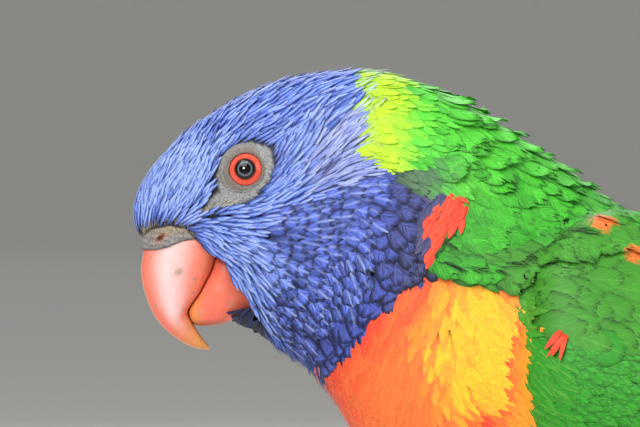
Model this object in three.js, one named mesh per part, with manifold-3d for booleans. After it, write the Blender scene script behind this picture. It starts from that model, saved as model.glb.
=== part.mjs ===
// A rainbow lorikeet standing at rest, life size, for a museum case.
// Millimetres, +Z up. The bird faces -Y, and +X is its left side. Profile points are written as
// distances behind and above the centre of the eye, and the whole bird is set on the floor at the end.
import * as THREE from "three";
import { mergeVertices } from "three/addons/utils/BufferGeometryUtils.js";
import Module from "manifold-3d";

const wasm = await Module();
wasm.setup();

// Driving dimensions
const EYE_HEIGHT = 99; // centre of the eye above the floor
const GAP = 0.3; // clearance between neighbouring pieces
const WING_LENGTH = 154; // bend of the folded wing to the tip of the longest primary
const TAIL_LENGTH = 131; // root to tip of the central pair of tail feathers
const TAIL_DROP = THREE.MathUtils.degToRad(16); // tail below the horizontal
const TAIL_ROOT = [142, -49.5];
const EYE_RADIUS = 4.3;
const EYE_DEPTH = 3.0; // centre of the eyeball below the skin
const EYE_FACING = new THREE.Vector3(1, -0.1, 0.12).normalize();
const LID_RING = 3.5;
const LID_TUBE = 0.6;
const TARSUS_LENGTH = 20;
const TARSUS_LEAN = THREE.MathUtils.degToRad(28);
const TARSUS_RADIUS = 2.1;
const LEG_SPREAD = 13; // each foot beside the middle of the body
const FOOT_BEHIND = 70; // where the toes part, behind the eye
const TOE_RADIUS = 1.75;
const FLOOR = -EYE_HEIGHT;

// Cross-sections of head, neck and trunk, from the face to the root of the tail:
// back y, back z, underside y, underside z, half width
const SECTIONS = [
  [-20.5, -12.6, -1.4, -28.2, 6.9],
  [-21.2, -6.5, 1.6, -29.7, 7.8],
  [-18.6, -0.4, 4.6, -31.5, 8.9],
  [-12.4, 6.4, 7.4, -33.7, 10.9],
  [-4.6, 12.0, 10.2, -35.7, 12.7],
  [4.4, 16.3, 12.8, -37.8, 14.0],
  [13.8, 18.4, 15.2, -40.8, 15.3],
  [23.5, 18.8, 17.4, -44.2, 17.0],
  [33.0, 16.2, 20.4, -49.2, 19.2],
  [43.0, 11.2, 25.2, -54.9, 21.6],
  [53.5, 4.6, 32.6, -60.6, 23.8],
  [66.0, -4.4, 43.5, -66.0, 25.2],
  [82.0, -12.6, 59.0, -71.4, 25.0],
  [100.0, -21.6, 79.0, -74.6, 22.8],
  [118.0, -30.2, 100.0, -72.4, 18.6],
  [134.0, -37.6, 120.0, -65.4, 13.2],
  [147.0, -43.6, 142.0, -55.4, 8.8],
];
const HEAD_END = 6.6; // where the hood stops, counted in sections
const NECK_END = 9.2;
const CROWN_TAPER = 0.12; // how much narrower the top of a section is than its underside
const FULLNESS = 0.84; // under 1 makes a section fuller than an ellipse

// Edge of the feathering round the bill, from the forehead over the cere and the gape to the chin
const FACE_EDGE = [
  [-24.0, -13.4],
  [-20.6, -12.6],
  [-18.4, -11.2],
  [-14.2, -10.4],
  [-11.2, -11.0],
  [-9.2, -13.2],
  [-4.9, -16.1],
  [-2.3, -19.2],
  [-0.1, -22.2],
  [1.6, -24.9],
  [2.4, -26.8],
  [3.0, -28.9],
  [2.6, -33.0],
];
// Lower edge of the cere
const CERE_EDGE = [
  [-24.0, -15.4],
  [-19.4, -15.0],
  [-17.1, -15.0],
  [-14.7, -14.5],
  [-12.1, -13.4],
  [-8.6, -12.6],
  [-4.0, -12.0],
];
// Upper bill: culmen y, z, cutting edge y, z, half width
const UPPER_BILL = [
  [-18.0, -7.0, 0.0, -9.0, 6.4],
  [-19.3, -12.4, -3.6, -12.5, 6.9],
  [-19.4, -15.4, -5.1, -15.5, 7.0],
  [-19.8, -18.6, -6.0, -18.0, 6.8],
  [-19.5, -21.5, -6.9, -20.1, 6.4],
  [-18.5, -24.8, -8.1, -22.6, 5.6],
  [-17.0, -27.8, -9.6, -24.5, 4.8],
  [-14.6, -30.5, -10.9, -26.5, 3.7],
  [-11.5, -32.6, -10.1, -28.6, 2.6],
  [-8.8, -33.6, -8.8, -30.8, 1.7],
  [-6.9, -33.7, -7.2, -32.9, 0.6],
];
// Lower bill: cutting edge y, z, keel y, z, half width
const LOWER_BILL = [
  [6.0, -16.0, 8.0, -24.5, 5.8],
  [-0.8, -14.8, 3.6, -25.8, 6.4],
  [-5.6, -15.4, 1.2, -26.6, 6.5],
  [-6.7, -18.2, -1.4, -27.7, 6.3],
  [-7.9, -20.4, -4.6, -28.9, 5.8],
  [-9.2, -22.6, -7.2, -29.3, 4.8],
  [-10.5, -24.6, -9.4, -29.1, 3.6],
  [-11.3, -26.6, -11.0, -28.1, 1.4],
];
const NOSTRIL = [-16.0, -12.7];
const NOSTRIL_RADIUS = 0.75;

// Folded wing: outward x, y, z along its lower edge, middle and upper edge, from the bend to the tip
const WING_EDGE_LOW = [
  [21.5, 57, -54],
  [23.5, 84, -62],
  [19.5, 112, -65],
  [14.0, 140, -63.5],
  [12.4, 168, -61.5],
  [9.0, 197, -62.8],
];
const WING_MIDDLE = [
  [26.5, 54, -32],
  [27.8, 80, -38.5],
  [23.5, 110, -46.5],
  [16.0, 140, -52],
  [10.8, 168, -54.2],
  [6.5, 198, -61.2],
];
const WING_EDGE_HIGH = [
  [14.5, 60, -6],
  [10.0, 86, -14.5],
  [7.0, 112, -26.5],
  [4.8, 140, -39],
  [3.4, 168, -49.8],
  [3.0, 199, -60.0],
];
const ARM_THICK = 4.0; // half the thickness of the folded wing near its bend
const TIP_THICK = 0.9;
const ARM_END = 122; // how far the filled middle of the wing reaches from the bend
const WING_ROOM = 3; // kept clear of the thigh round the filled middle, for the vanes on it
const ARM_COUNT = 12; // corners of a ring round the filled middle
const ARM_ROWS = 10;
const ARM_ROW_SPREAD = 1.35; // rings lie closer towards the bend
const BEND_BLUNTNESS = 9; // the higher, the blunter the bend
const BEND_BREADTH = 0.38; // share of its breadth that the arm keeps at the bend
const BEND_THICKNESS = 0.2; // and of its thickness
const ARM_END_BLUNTNESS = 6;
const ARM_END_BREADTH = 0.5;

// Feathers of the folded wing. Each row: distance of the root from the bend, its share of the way across,
// distance and share of the tip, and half width.
const PRIMARIES = [
  [66, 0.08, 149, 0.12, 2.7],
  [66, 0.15, 154, 0.32, 3.0],
  [66, 0.22, 149, 0.56, 3.0],
  [66, 0.3, 140, 0.76, 3.1],
  [66, 0.38, 129, 0.88, 3.3],
];
const SECONDARIES = [
  [60, 0.28, 100, 0.4, 4.4],
  [60, 0.43, 98, 0.56, 4.6],
  [60, 0.58, 97, 0.71, 4.6],
  [60, 0.73, 98, 0.83, 4.5],
  [60, 0.88, 104, 0.92, 4.2],
];
const PRIMARY_COVERTS = [
  [48, 0.06, 68, 0.07, 4.2],
  [48, 0.16, 65, 0.18, 4.2],
];
const GREATER_COVERTS = [
  [49, 0.26, 66, 0.3, 4.2],
  [49, 0.41, 66, 0.44, 4.4],
  [49, 0.56, 66, 0.59, 4.4],
  [49, 0.71, 66, 0.74, 4.4],
  [49, 0.86, 67, 0.88, 4.3],
];
const MEDIAN_COVERTS = [
  [34, 0.2, 49, 0.23, 4.6],
  [34, 0.35, 49, 0.37, 4.6],
  [34, 0.5, 49, 0.52, 4.6],
  [34, 0.65, 49, 0.67, 4.6],
  [34, 0.81, 50, 0.83, 4.8],
];
const ALULA = [[20, 0.08, 50, 0.08, 4.4]];
// The tiers from the lowest up, with the height of root and tip over the filled middle
const WING_TIERS = [
  { feathers: PRIMARIES, root: -0.5, tip: 0.3 },
  { feathers: SECONDARIES, root: -0.1, tip: 0.9 },
  { feathers: PRIMARY_COVERTS, root: -0.5, tip: 0.9 },
  { feathers: GREATER_COVERTS, root: -0.5, tip: 1.2 },
  { feathers: MEDIAN_COVERTS, root: -0.5, tip: 1.1 },
  { feathers: ALULA, root: -0.4, tip: 1.1 },
];
const VANE_THICK = 0.8;
const VANE_TILT = 0.36; // how far a wing vane's free edge lies above its middle
const TAIL_TILT = 0.15; // the same in the tail

const up = new THREE.Vector3(0, 0, 1);
const side = (y, z) => new THREE.Vector3(0, y, z);

// One closed solid from points and triangles, turned to face outwards
function solid(points, index) {
  const geometry = new THREE.BufferGeometry().setFromPoints(points).setIndex(index);
  return solidOf(geometry);
}

function solidOf(geometry) {
  const bare = geometry.clone();
  bare.deleteAttribute("normal");
  bare.deleteAttribute("uv");
  const merged = mergeVertices(bare, 1e-4);
  const build = (triVerts) =>
    new wasm.Manifold(
      new wasm.Mesh({ numProp: 3, vertProperties: merged.attributes.position.array, triVerts }),
    );
  const triVerts = Uint32Array.from(merged.index.array);
  const made = build(triVerts);
  return made.volume() > 0 ? made : build(triVerts.slice().reverse());
}

function geometryOf(made) {
  const mesh = made.getMesh();
  return new THREE.BufferGeometry()
    .setAttribute("position", new THREE.BufferAttribute(mesh.vertProperties.slice(), 3))
    .setIndex(new THREE.BufferAttribute(mesh.triVerts, 1));
}

// The largest closed piece of a solid, so that no scrap of a cut is left
function largest(made) {
  return made.decompose().sort((a, b) => b.volume() - a.volume())[0];
}

function joined(pieces) {
  return pieces.reduce((whole, piece) => whole.add(piece));
}

// A skin through rings of equal count, closed at both ends
function loft(rings) {
  const count = rings[0].length;
  const points = rings.flat();
  const middle = (ring) =>
    ring.reduce((sum, p) => sum.add(p), new THREE.Vector3()).divideScalar(count);
  const first = points.push(middle(rings[0])) - 1;
  const last = points.push(middle(rings.at(-1))) - 1;
  const index = [];
  const start = (rings.length - 1) * count;
  for (let k = 0; k < count; k++) {
    const next = (k + 1) % count;
    index.push(first, next, k, last, start + k, start + next);
    for (let r = 0; r < rings.length - 1; r++) {
      const a = r * count;
      const b = a + count;
      index.push(a + k, a + next, b + next, a + k, b + next, b + k);
    }
  }
  return solid(points, index);
}

// Interpolated columns of a table of sections
function column(table, y, z) {
  const curve = new THREE.SplineCurve(table.map((row) => new THREE.Vector2(row[y], row[z])));
  return (u) => curve.getPoint(u / (table.length - 1));
}

// Rings across a body given by a back line, an underside line and half widths
function sectioned(table, { count, taper = 0, fullness = 1 }) {
  const back = column(table, 0, 1);
  const belly = column(table, 2, 3);
  const widths = new THREE.SplineCurve(table.map((row, i) => new THREE.Vector2(i, row[4])));
  return (u, grow = 0, shift = 0) => {
    const a = back(u);
    const b = belly(u);
    const along = b.clone().sub(a).normalize();
    const normal = new THREE.Vector2(-along.y, along.x).multiplyScalar(shift);
    a.addScaledVector(along, -grow).add(normal);
    b.addScaledVector(along, grow).add(normal);
    const half = widths.getPoint(u / (table.length - 1)).y + grow;
    return Array.from({ length: count }, (_, k) => {
      const angle = (2 * Math.PI * k) / count;
      const c = Math.sign(Math.cos(angle)) * Math.abs(Math.cos(angle)) ** fullness;
      const s = Math.sign(Math.sin(angle)) * Math.abs(Math.sin(angle)) ** fullness;
      const p = a.clone().lerp(b, (1 - c) / 2);
      const x = half * s * (1 - taper * c);
      return new THREE.Vector3(x, p.x, p.y);
    });
  };
}

const bodyRing = sectioned(SECTIONS, { count: 28, taper: CROWN_TAPER, fullness: FULLNESS });

function steps(from, to, count) {
  return Array.from({ length: count + 1 }, (_, i) => from + ((to - from) * i) / count);
}

// A length of the body between two sections, with half the gap kept clear at a cut end
function bodyLength(from, to, count, cutFront, cutBack, grow = 0) {
  const us = steps(from, to, count);
  return loft(
    us.map((u, i) => {
      const front = i === 0 && cutFront ? GAP / 2 : 0;
      const back = i === count && cutBack ? -GAP / 2 : 0;
      return bodyRing(u, grow, front + back);
    }),
  );
}

// A plate across the whole width, from an outline in side view
function sidePlate(outline, halfWidth) {
  const shape = new THREE.Shape(outline.map(([y, z]) => new THREE.Vector2(y, z)));
  const plate = new THREE.ExtrudeGeometry(shape, { depth: 2 * halfWidth, bevelEnabled: false });
  const upright = new THREE.Matrix4().makeBasis(side(1, 0), side(0, 1), new THREE.Vector3(1, 0, 0));
  return solidOf(plate.applyMatrix4(upright).translate(-halfWidth, 0, 0));
}

// The same line, moved by a distance
function moved(line, dy, dz) {
  return line.map(([y, z]) => [y + dy, z + dz]);
}

// Corners that close the outline of what lies before the face
const FRONT_CORNERS = [
  [-40, -33.0],
  [-40, -13.4],
];
const BILL_REACH = 20; // half width of the plates that cut the bill, more than the bill's own

function headWhole() {
  return bodyLength(0, HEAD_END, 13, false, true);
}

// Centre of the skin over the eye, found on the side of the head
function eyeSkin() {
  const ring = steps(3, 6, 30).flatMap((u) => bodyRing(u));
  const near = ring
    .filter((p) => p.x > 0)
    .map((p) => ({ x: p.x, off: Math.hypot(p.y, p.z) }))
    .sort((a, b) => a.off - b.off)
    .slice(0, 3);
  return near.reduce((sum, p) => sum + p.x, 0) / near.length;
}

const EYE_OUT = eyeSkin();

function mirroredFacing(sign) {
  return EYE_FACING.clone().setX(EYE_FACING.x * sign);
}

function eyeCentre(sign) {
  const skin = new THREE.Vector3(sign * EYE_OUT, 0, 0);
  return skin.addScaledVector(mirroredFacing(sign), -EYE_DEPTH);
}

function eyeball(sign, radius) {
  const turn = new THREE.Quaternion().setFromUnitVectors(side(1, 0), mirroredFacing(sign));
  const ball = new THREE.SphereGeometry(radius, 14, 10).applyQuaternion(turn);
  return solidOf(ball.translate(...eyeCentre(sign).toArray()));
}

function lidRing(sign) {
  const facing = mirroredFacing(sign);
  const turn = new THREE.Quaternion().setFromUnitVectors(up, facing);
  const ring = new THREE.TorusGeometry(LID_RING, LID_TUBE, 5, 16).applyQuaternion(turn);
  const centre = eyeCentre(sign).addScaledVector(facing, EYE_DEPTH + 0.1);
  return solidOf(ring.translate(...centre.toArray()));
}

function head() {
  const face = sidePlate([...FACE_EDGE, ...FRONT_CORNERS], BILL_REACH);
  let made = joined([headWhole(), lidRing(1), lidRing(-1)]);
  made = made.subtract(face);
  for (const sign of [1, -1]) made = made.subtract(eyeball(sign, EYE_RADIUS + GAP));
  return largest(made);
}

const BILL_ROWS = 18;
const upperRing = sectioned(UPPER_BILL, { count: 18, taper: 0.16, fullness: 0.8 });
const lowerRing = sectioned(LOWER_BILL, { count: 16, taper: -0.1, fullness: 0.8 });

// What lies before the edge of the feathering, less the gap
function beforeFace() {
  return sidePlate([...moved(FACE_EDGE, -GAP * 0.75, -GAP * 0.75), ...FRONT_CORNERS], BILL_REACH);
}

function upperBillWhole() {
  const rings = steps(0, UPPER_BILL.length - 1, BILL_ROWS).map((u) => upperRing(u));
  return loft(rings).intersect(beforeFace());
}

// Corners that close the outlines above and below the cere's lower edge
const ABOVE_CERE = [
  [-4, 0],
  [-24, 0],
];
const BELOW_CERE = [
  [-4, -40],
  [-40, -40],
  [-40, -15.4],
];

function nostril(sign) {
  const pit = new THREE.SphereGeometry(NOSTRIL_RADIUS, 8, 6).scale(1.6, 1.3, 0.9);
  const out = upperRing(1).reduce((most, p) => Math.max(most, p.x), 0);
  return solidOf(pit.translate(sign * out * 0.8, ...NOSTRIL));
}

function cere() {
  const part = upperBillWhole().intersect(sidePlate([...CERE_EDGE, ...ABOVE_CERE], BILL_REACH));
  return largest(part.subtract(nostril(1)).subtract(nostril(-1)));
}

function upperBill() {
  const below = [...moved(CERE_EDGE, 0, -GAP), ...BELOW_CERE];
  return largest(upperBillWhole().intersect(sidePlate(below, BILL_REACH)));
}

function lowerBill() {
  const whole = loft(steps(0, LOWER_BILL.length - 1, 12).map((u) => lowerRing(u)));
  const upperGrown = loft(steps(0, UPPER_BILL.length - 1, BILL_ROWS).map((u) => upperRing(u, GAP)));
  return largest(whole.intersect(beforeFace()).subtract(upperGrown));
}

function neck() {
  return bodyLength(HEAD_END, NECK_END, 5, true, true);
}

const LAST = SECTIONS.length - 1;

function torso() {
  return bodyLength(NECK_END, LAST, 15, true, true);
}

// The whole trunk and neck, grown by the gap, which cuts what lies against it
function bodyGrown() {
  return bodyLength(HEAD_END, LAST, 20, false, false, GAP);
}

// The folded wing's surface: distance from the bend, share across from the lower edge, height above it
function wingSurface() {
  const curves = [WING_EDGE_LOW, WING_MIDDLE, WING_EDGE_HIGH].map(
    (line) => new THREE.CatmullRomCurve3(line.map((p) => new THREE.Vector3(...p))),
  );
  const at = (distance, share) => {
    const t = THREE.MathUtils.clamp(distance / WING_LENGTH, 0, 1);
    const [low, mid, high] = curves.map((curve) => curve.getPoint(t));
    const s = THREE.MathUtils.clamp(share, 0, 1);
    const p = new THREE.Vector3()
      .addScaledVector(low, (1 - s) * (1 - 2 * s))
      .addScaledVector(mid, 4 * s * (1 - s))
      .addScaledVector(high, s * (2 * s - 1));
    return p;
  };
  const step = 0.02;
  return (distance, share, height = 0) => {
    const d = THREE.MathUtils.clamp(distance, step * WING_LENGTH, (1 - step) * WING_LENGTH);
    const s = THREE.MathUtils.clamp(share, step, 1 - step);
    const alongWing = at(d + step * WING_LENGTH, s).sub(at(d - step * WING_LENGTH, s));
    const across = at(d, s + step).sub(at(d, s - step));
    const normal = across.clone().cross(alongWing).normalize();
    if (normal.x < 0) normal.negate();
    const beyond = share - THREE.MathUtils.clamp(share, 0, 1);
    return at(distance, share)
      .addScaledVector(across, beyond / (2 * step))
      .addScaledVector(normal, height);
  };
}

const onWing = wingSurface();

// Half the thickness of the folded wing's filled middle
function wingBulge(distance, share) {
  const thick = THREE.MathUtils.lerp(ARM_THICK, TIP_THICK, Math.min(1, distance / ARM_END) ** 0.8);
  return thick * Math.sqrt(Math.max(0, 1 - (2 * share - 1) ** 2));
}

// The filled middle of the wing, blunt at the bend and running out under the long feathers
function wingCore(grow = 0) {
  const rings = steps(0, 1, ARM_ROWS).map((step) => {
    const t = step ** ARM_ROW_SPREAD;
    const distance = t * ARM_END;
    const fromMiddle = Math.abs(2 * t - 1);
    const atBend = fromMiddle ** BEND_BLUNTNESS;
    const atEnd = fromMiddle ** ARM_END_BLUNTNESS;
    const reach = t < 0.5 ? 1 - (1 - BEND_BREADTH) * atBend : 1 - (1 - ARM_END_BREADTH) * atEnd;
    const rise = t < 0.5 ? 1 - (1 - BEND_THICKNESS) * atBend : 1;
    const breadth = onWing(distance, 0).distanceTo(onWing(distance, 1));
    return Array.from({ length: ARM_COUNT }, (_, k) => {
      const angle = (2 * Math.PI * k) / ARM_COUNT;
      const share = 0.5 - 0.5 * reach * Math.cos(angle);
      const wider = (-grow * Math.cos(angle)) / breadth;
      const height = (wingBulge(distance, share) * rise + grow) * Math.sign(Math.sin(angle));
      return onWing(distance, share + wider, Math.abs(Math.sin(angle)) < 0.01 ? 0 : height);
    });
  });
  return loft(rings);
}

// A thin closed plate through rows of four corners: top left, top right, bottom left, bottom right.
// Its top and its bottom are cut into triangles alike.
function plate(rows) {
  const index = [];
  for (let i = 0; i < rows.length - 1; i++) {
    const corners = (row) => [0, 1, 2, 3].map((k) => 4 * row + k);
    const [topLeft, topRight, lowLeft, lowRight] = corners(i);
    const [nextTopLeft, nextTopRight, nextLowLeft, nextLowRight] = corners(i + 1);
    index.push(topLeft, topRight, nextTopRight, topLeft, nextTopRight, nextTopLeft);
    index.push(lowLeft, nextLowRight, lowRight, lowLeft, nextLowLeft, nextLowRight);
    index.push(topLeft, nextTopLeft, nextLowLeft, topLeft, nextLowLeft, lowLeft);
    index.push(topRight, lowRight, nextLowRight, topRight, nextLowRight, nextTopRight);
  }
  const end = 4 * (rows.length - 1);
  index.push(0, 2, 3, 0, 3, 1, end, end + 1, end + 3, end, end + 3, end + 2);
  return solid(rows.flat(), index);
}

// Rows of a vane: share of its length, and its half width there as a share of the widest
const VANE_SHAPE = [
  [0, 0.7],
  [0.72, 1],
  [0.93, 0.7],
  [1, 0.16],
];

// A vane laid by a function of the share along, millimetres across and height. The tilt lifts one edge.
function vane(place, halfWidth, shape, tilt) {
  return plate(
    shape.map(([t, wide]) => {
      const half = halfWidth * wide;
      const corner = (way, level) => place(t, way * half, (level * VANE_THICK) / 2 + way * tilt * wide);
      return [corner(-1, 1), corner(1, 1), corner(-1, -1), corner(1, -1)];
    }),
  );
}

function wingVane([rootDistance, rootShare, tipDistance, tipShare, halfWidth], { root, tip }) {
  const place = (t, across, height) => {
    const distance = THREE.MathUtils.lerp(rootDistance, tipDistance, t);
    const breadth = onWing(distance, 0).distanceTo(onWing(distance, 1));
    const share = THREE.MathUtils.lerp(rootShare, tipShare, t) + across / breadth;
    const over = wingBulge(distance, THREE.MathUtils.clamp(share, 0, 1));
    return onWing(distance, share, over + THREE.MathUtils.lerp(root, tip, t) + height);
  };
  return vane(place, halfWidth, VANE_SHAPE, -VANE_TILT);
}

function wing() {
  const vanes = WING_TIERS.flatMap((tier) => tier.feathers.map((feather) => wingVane(feather, tier)));
  return largest(joined([wingCore(), ...vanes]).subtract(bodyGrown()).subtract(tailGrown()));
}

function mirrored(made) {
  return made.mirror([1, 0, 0]);
}

// Places along the tail: distance from its root, across, and above its middle plane
function onTail(distance, across, height = 0) {
  const c = Math.cos(TAIL_DROP);
  const s = Math.sin(TAIL_DROP);
  return new THREE.Vector3(
    across,
    TAIL_ROOT[0] + distance * c + height * s,
    TAIL_ROOT[1] - distance * s + height * c,
  );
}

// Half width and half thickness of the space that the closed tail takes, at shares of its length
const TAIL_SPACE = [
  [0.0, 8.8, 6.0],
  [0.12, 11.0, 4.8],
  [0.3, 14.0, 3.8],
  [0.5, 14.5, 3.4],
  [0.7, 13.0, 3.2],
  [1.0, 5.0, 2.6],
];

// The filled root of the tail, inside that space
const TAIL_CORE = [
  [0.0, 8.4, 5.7],
  [0.1, 8.8, 4.4],
  [0.2, 8.8, 2.6],
  [0.36, 7.0, 1.2],
];

function tailBody(outline, grow = 0) {
  const lastShare = outline.at(-1)[0];
  const width = new THREE.SplineCurve(outline.map(([t, w]) => new THREE.Vector2(t, w)));
  const thick = new THREE.SplineCurve(outline.map(([t, , h]) => new THREE.Vector2(t, h)));
  const count = 14;
  const rings = steps(0, 1, 8).map((t) => {
    const w = width.getPoint(t);
    const h = thick.getPoint(t);
    const distance = Math.min(w.x, lastShare) * TAIL_LENGTH - grow * (t === 0);
    return Array.from({ length: count }, (_, k) => {
      const angle = (2 * Math.PI * k) / count;
      return onTail(distance, (w.y + grow) * Math.cos(angle), (h.y + grow) * Math.sin(angle));
    });
  });
  return loft(rings);
}

function tailGrown() {
  return tailBody(TAIL_SPACE, GAP);
}

// Six pairs of tail feathers, the middle pair longest and on top: length, half width, turn outwards
const TAIL_FEATHERS = [
  [TAIL_LENGTH, 5.4, -0.55],
  [121, 5.4, 0.7],
  [110, 5.4, 1.9],
  [99, 5.2, 3.2],
  [88, 5.0, 4.5],
  [77, 4.8, 5.9],
];
const TAIL_STEP = 0.5; // each pair below the one above it
const TAIL_TOP = 1.1; // the middle pair above the tail's middle plane
const TAIL_ACROSS = 2.2; // root of each feather of the middle pair beside the middle
const TAIL_APART = 0.3; // root of each pair beyond the one above it
const TAIL_SHAPE = [
  [0, 0.45],
  [0.3, 0.8],
  [0.6, 1],
  [0.84, 0.74],
  [1, 0.08],
];
// Coverts over and under the root of the tail: start, length, half width, across, turn outwards,
// height of the root and height of the tip
const TAIL_COVERTS = [
  [6, 40, 4.4, 2.4, 2, 3.2, 2.1],
  [4, 31, 3.8, 4.6, 3, 2.6, 1.8],
  [3, 23, 4.2, 2.6, 2, 4.0, 3.0],
  [6, 42, 4.4, 2.4, 2, -3.4, -2.5],
  [4, 32, 3.8, 4.6, 3, -2.8, -2.2],
  [3, 23, 4.2, 2.6, 2, -4.2, -3.2],
];
const COVERT_ROUND = 13.5; // half the width over which the coverts curve down to the sides

function tailVane({ start, length, halfWidth, across, turn, root, tip, shape, rounded }) {
  const place = (t, offset, height) => {
    const along = start + length * t;
    const out = across + length * t * Math.sin(turn) + offset;
    const fall = rounded ? Math.sqrt(1 - (out / COVERT_ROUND) ** 2) : 1;
    return onTail(along * Math.cos(turn), out, THREE.MathUtils.lerp(root, tip, t) * fall + height);
  };
  return vane(place, halfWidth, shape, TAIL_TILT);
}

function tail() {
  const feathers = TAIL_FEATHERS.map(([length, halfWidth, degrees], i) => {
    const height = TAIL_TOP - TAIL_STEP * i;
    const turn = THREE.MathUtils.degToRad(degrees);
    const across = TAIL_ACROSS + TAIL_APART * i;
    const level = { root: height, tip: height, rounded: false };
    return tailVane({ start: 0, length, halfWidth, across, turn, shape: TAIL_SHAPE, ...level });
  });
  const coverts = TAIL_COVERTS.map(([start, length, halfWidth, across, degrees, root, tip]) => {
    const turn = THREE.MathUtils.degToRad(degrees);
    const placed = { start, length, halfWidth, across, turn, root, tip };
    return tailVane({ ...placed, shape: VANE_SHAPE, rounded: true });
  });
  const half = joined([...feathers, ...coverts]);
  return largest(joined([tailBody(TAIL_CORE), half, mirrored(half)]).subtract(bodyGrown()));
}

// A tube of changing radius along a curve
function tube(path, radius, { count = 8, rows = 8, flat = 1 }) {
  const curve = new THREE.CatmullRomCurve3(path.map((p) => new THREE.Vector3(...p)));
  const rings = steps(0, 1, rows).map((t) => {
    const centre = curve.getPoint(t);
    const tangent = curve.getTangent(t);
    const steep = Math.abs(tangent.z) > 0.9;
    const across = steep ? new THREE.Vector3(1, 0, 0) : up.clone().cross(tangent).normalize();
    const over = tangent.clone().cross(across).normalize();
    const r = radius(t);
    return Array.from({ length: count }, (_, k) => {
      const angle = (2 * Math.PI * (k + 0.5)) / count;
      return centre
        .clone()
        .addScaledVector(across, r * Math.cos(angle))
        .addScaledVector(over, r * flat * Math.sin(angle));
    });
  });
  return loft(rings);
}

// Toes: turn from straight ahead, length without the claw. Two point forwards and two back.
const TOES = [
  { name: "inner_front", turn: -14, length: 14 },
  { name: "outer_front", turn: 16, length: 20 },
  { name: "outer_back", turn: 158, length: 17 },
  { name: "inner_back", turn: 198, length: 10 },
];
const TOE_HEIGHTS = [1.5, 0.95, 0.9, 0.92]; // middle of a toe above the floor along it, in radii
const TOE_STEP = 5; // length of one toe pad
const TOE_TAPER = 0.22;
const PAD_SWELL = 0.08;
const CLAW_LENGTH = 6.5;
const CLAW_RADIUS = 1.25;
const CLAW_TIP_RADIUS = 0.12;
// Middle of a claw above its root, at shares of its length
const CLAW_ARCH = [
  [0, 0.35],
  [0.4, 1.1],
  [0.75, 0.6],
  [1, -0.9],
];
const KNUCKLE_HEIGHT = 3;
const FOOT_KNUCKLE = [LEG_SPREAD, FOOT_BEHIND, FLOOR + KNUCKLE_HEIGHT];
const SHANK_SAG = 0.8; // the middle of the shank below the straight line
const ANKLE = [
  LEG_SPREAD,
  FOOT_BEHIND + TARSUS_LENGTH * Math.sin(TARSUS_LEAN),
  FOOT_KNUCKLE[2] + TARSUS_LENGTH * Math.cos(TARSUS_LEAN),
];

function toeWay({ turn }) {
  const angle = THREE.MathUtils.degToRad(turn);
  return new THREE.Vector3(Math.sin(angle), -Math.cos(angle), 0);
}

function toe(shape) {
  const way = toeWay(shape);
  const start = new THREE.Vector3(...FOOT_KNUCKLE);
  const path = TOE_HEIGHTS.map((height, i) => {
    const p = start.clone().addScaledVector(way, (shape.length * i) / (TOE_HEIGHTS.length - 1));
    p.z = FLOOR + TOE_RADIUS * height;
    return p.toArray();
  });
  const pads = Math.round(shape.length / TOE_STEP);
  const radius = (t) => {
    const swell = PAD_SWELL * (1 + Math.cos(2 * Math.PI * pads * t));
    return TOE_RADIUS * (1 - TOE_TAPER * t + swell);
  };
  return tube(path, radius, { count: 8, rows: pads + 4 });
}

function shank(grow = 0) {
  const middle = [0, 1, 2].map((i) => (ANKLE[i] + FOOT_KNUCKLE[i]) / 2);
  const bend = [middle[0], middle[1], middle[2] - SHANK_SAG];
  const radius = (t) => TARSUS_RADIUS * (1.12 - 0.3 * Math.sin(Math.PI * t) + 0.1 * t) + grow;
  const upwards = new THREE.Vector3(...ANKLE).sub(new THREE.Vector3(...bend)).normalize();
  const top = new THREE.Vector3(...ANKLE).addScaledVector(upwards, grow).toArray();
  return tube([top, bend, FOOT_KNUCKLE], radius, { count: 10, rows: 6 });
}

const GROUND = 120; // size of the block that cuts the soles flat

function foot() {
  const ground = new THREE.BoxGeometry(GROUND, GROUND, GROUND);
  const floor = solidOf(ground.translate(LEG_SPREAD, FOOT_BEHIND, FLOOR - GROUND / 2));
  return largest(joined([shank(), ...TOES.map(toe)]).subtract(floor));
}

function claw(shape) {
  const way = toeWay(shape);
  const root = new THREE.Vector3(...FOOT_KNUCKLE).addScaledVector(way, shape.length + GAP);
  root.z = FLOOR + TOE_RADIUS * TOE_HEIGHTS.at(-1);
  const path = CLAW_ARCH.map(([t, rise]) => {
    const p = root.clone().addScaledVector(way, CLAW_LENGTH * t);
    return p.addScaledVector(up, rise).toArray();
  });
  const radius = (t) => CLAW_RADIUS * (1 - t) ** 0.8 + CLAW_TIP_RADIUS;
  return tube(path, radius, { count: 7, rows: 5 });
}

// Middle of the feathered upper leg, from the flank down to the ankle
const THIGH_PATH = [
  [LEG_SPREAD + 2, FOOT_BEHIND + 6, -60],
  [LEG_SPREAD + 1.5, FOOT_BEHIND + 6.5, -68],
  [LEG_SPREAD + 0.6, FOOT_BEHIND + 8.4, -77],
  [ANKLE[0], ANKLE[1] - 0.6, ANKLE[2] - 1.6],
];
const THIGH_RADIUS = 13;
const THIGH_END_RADIUS = 3;

function thigh() {
  const radius = (t) => THREE.MathUtils.lerp(THIGH_RADIUS, THIGH_END_RADIUS, t ** 0.75);
  const whole = tube(THIGH_PATH, radius, { count: 14, rows: 8 });
  return largest(whole.subtract(bodyGrown()).subtract(shank(GAP)).subtract(wingCore(WING_ROOM)));
}

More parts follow.
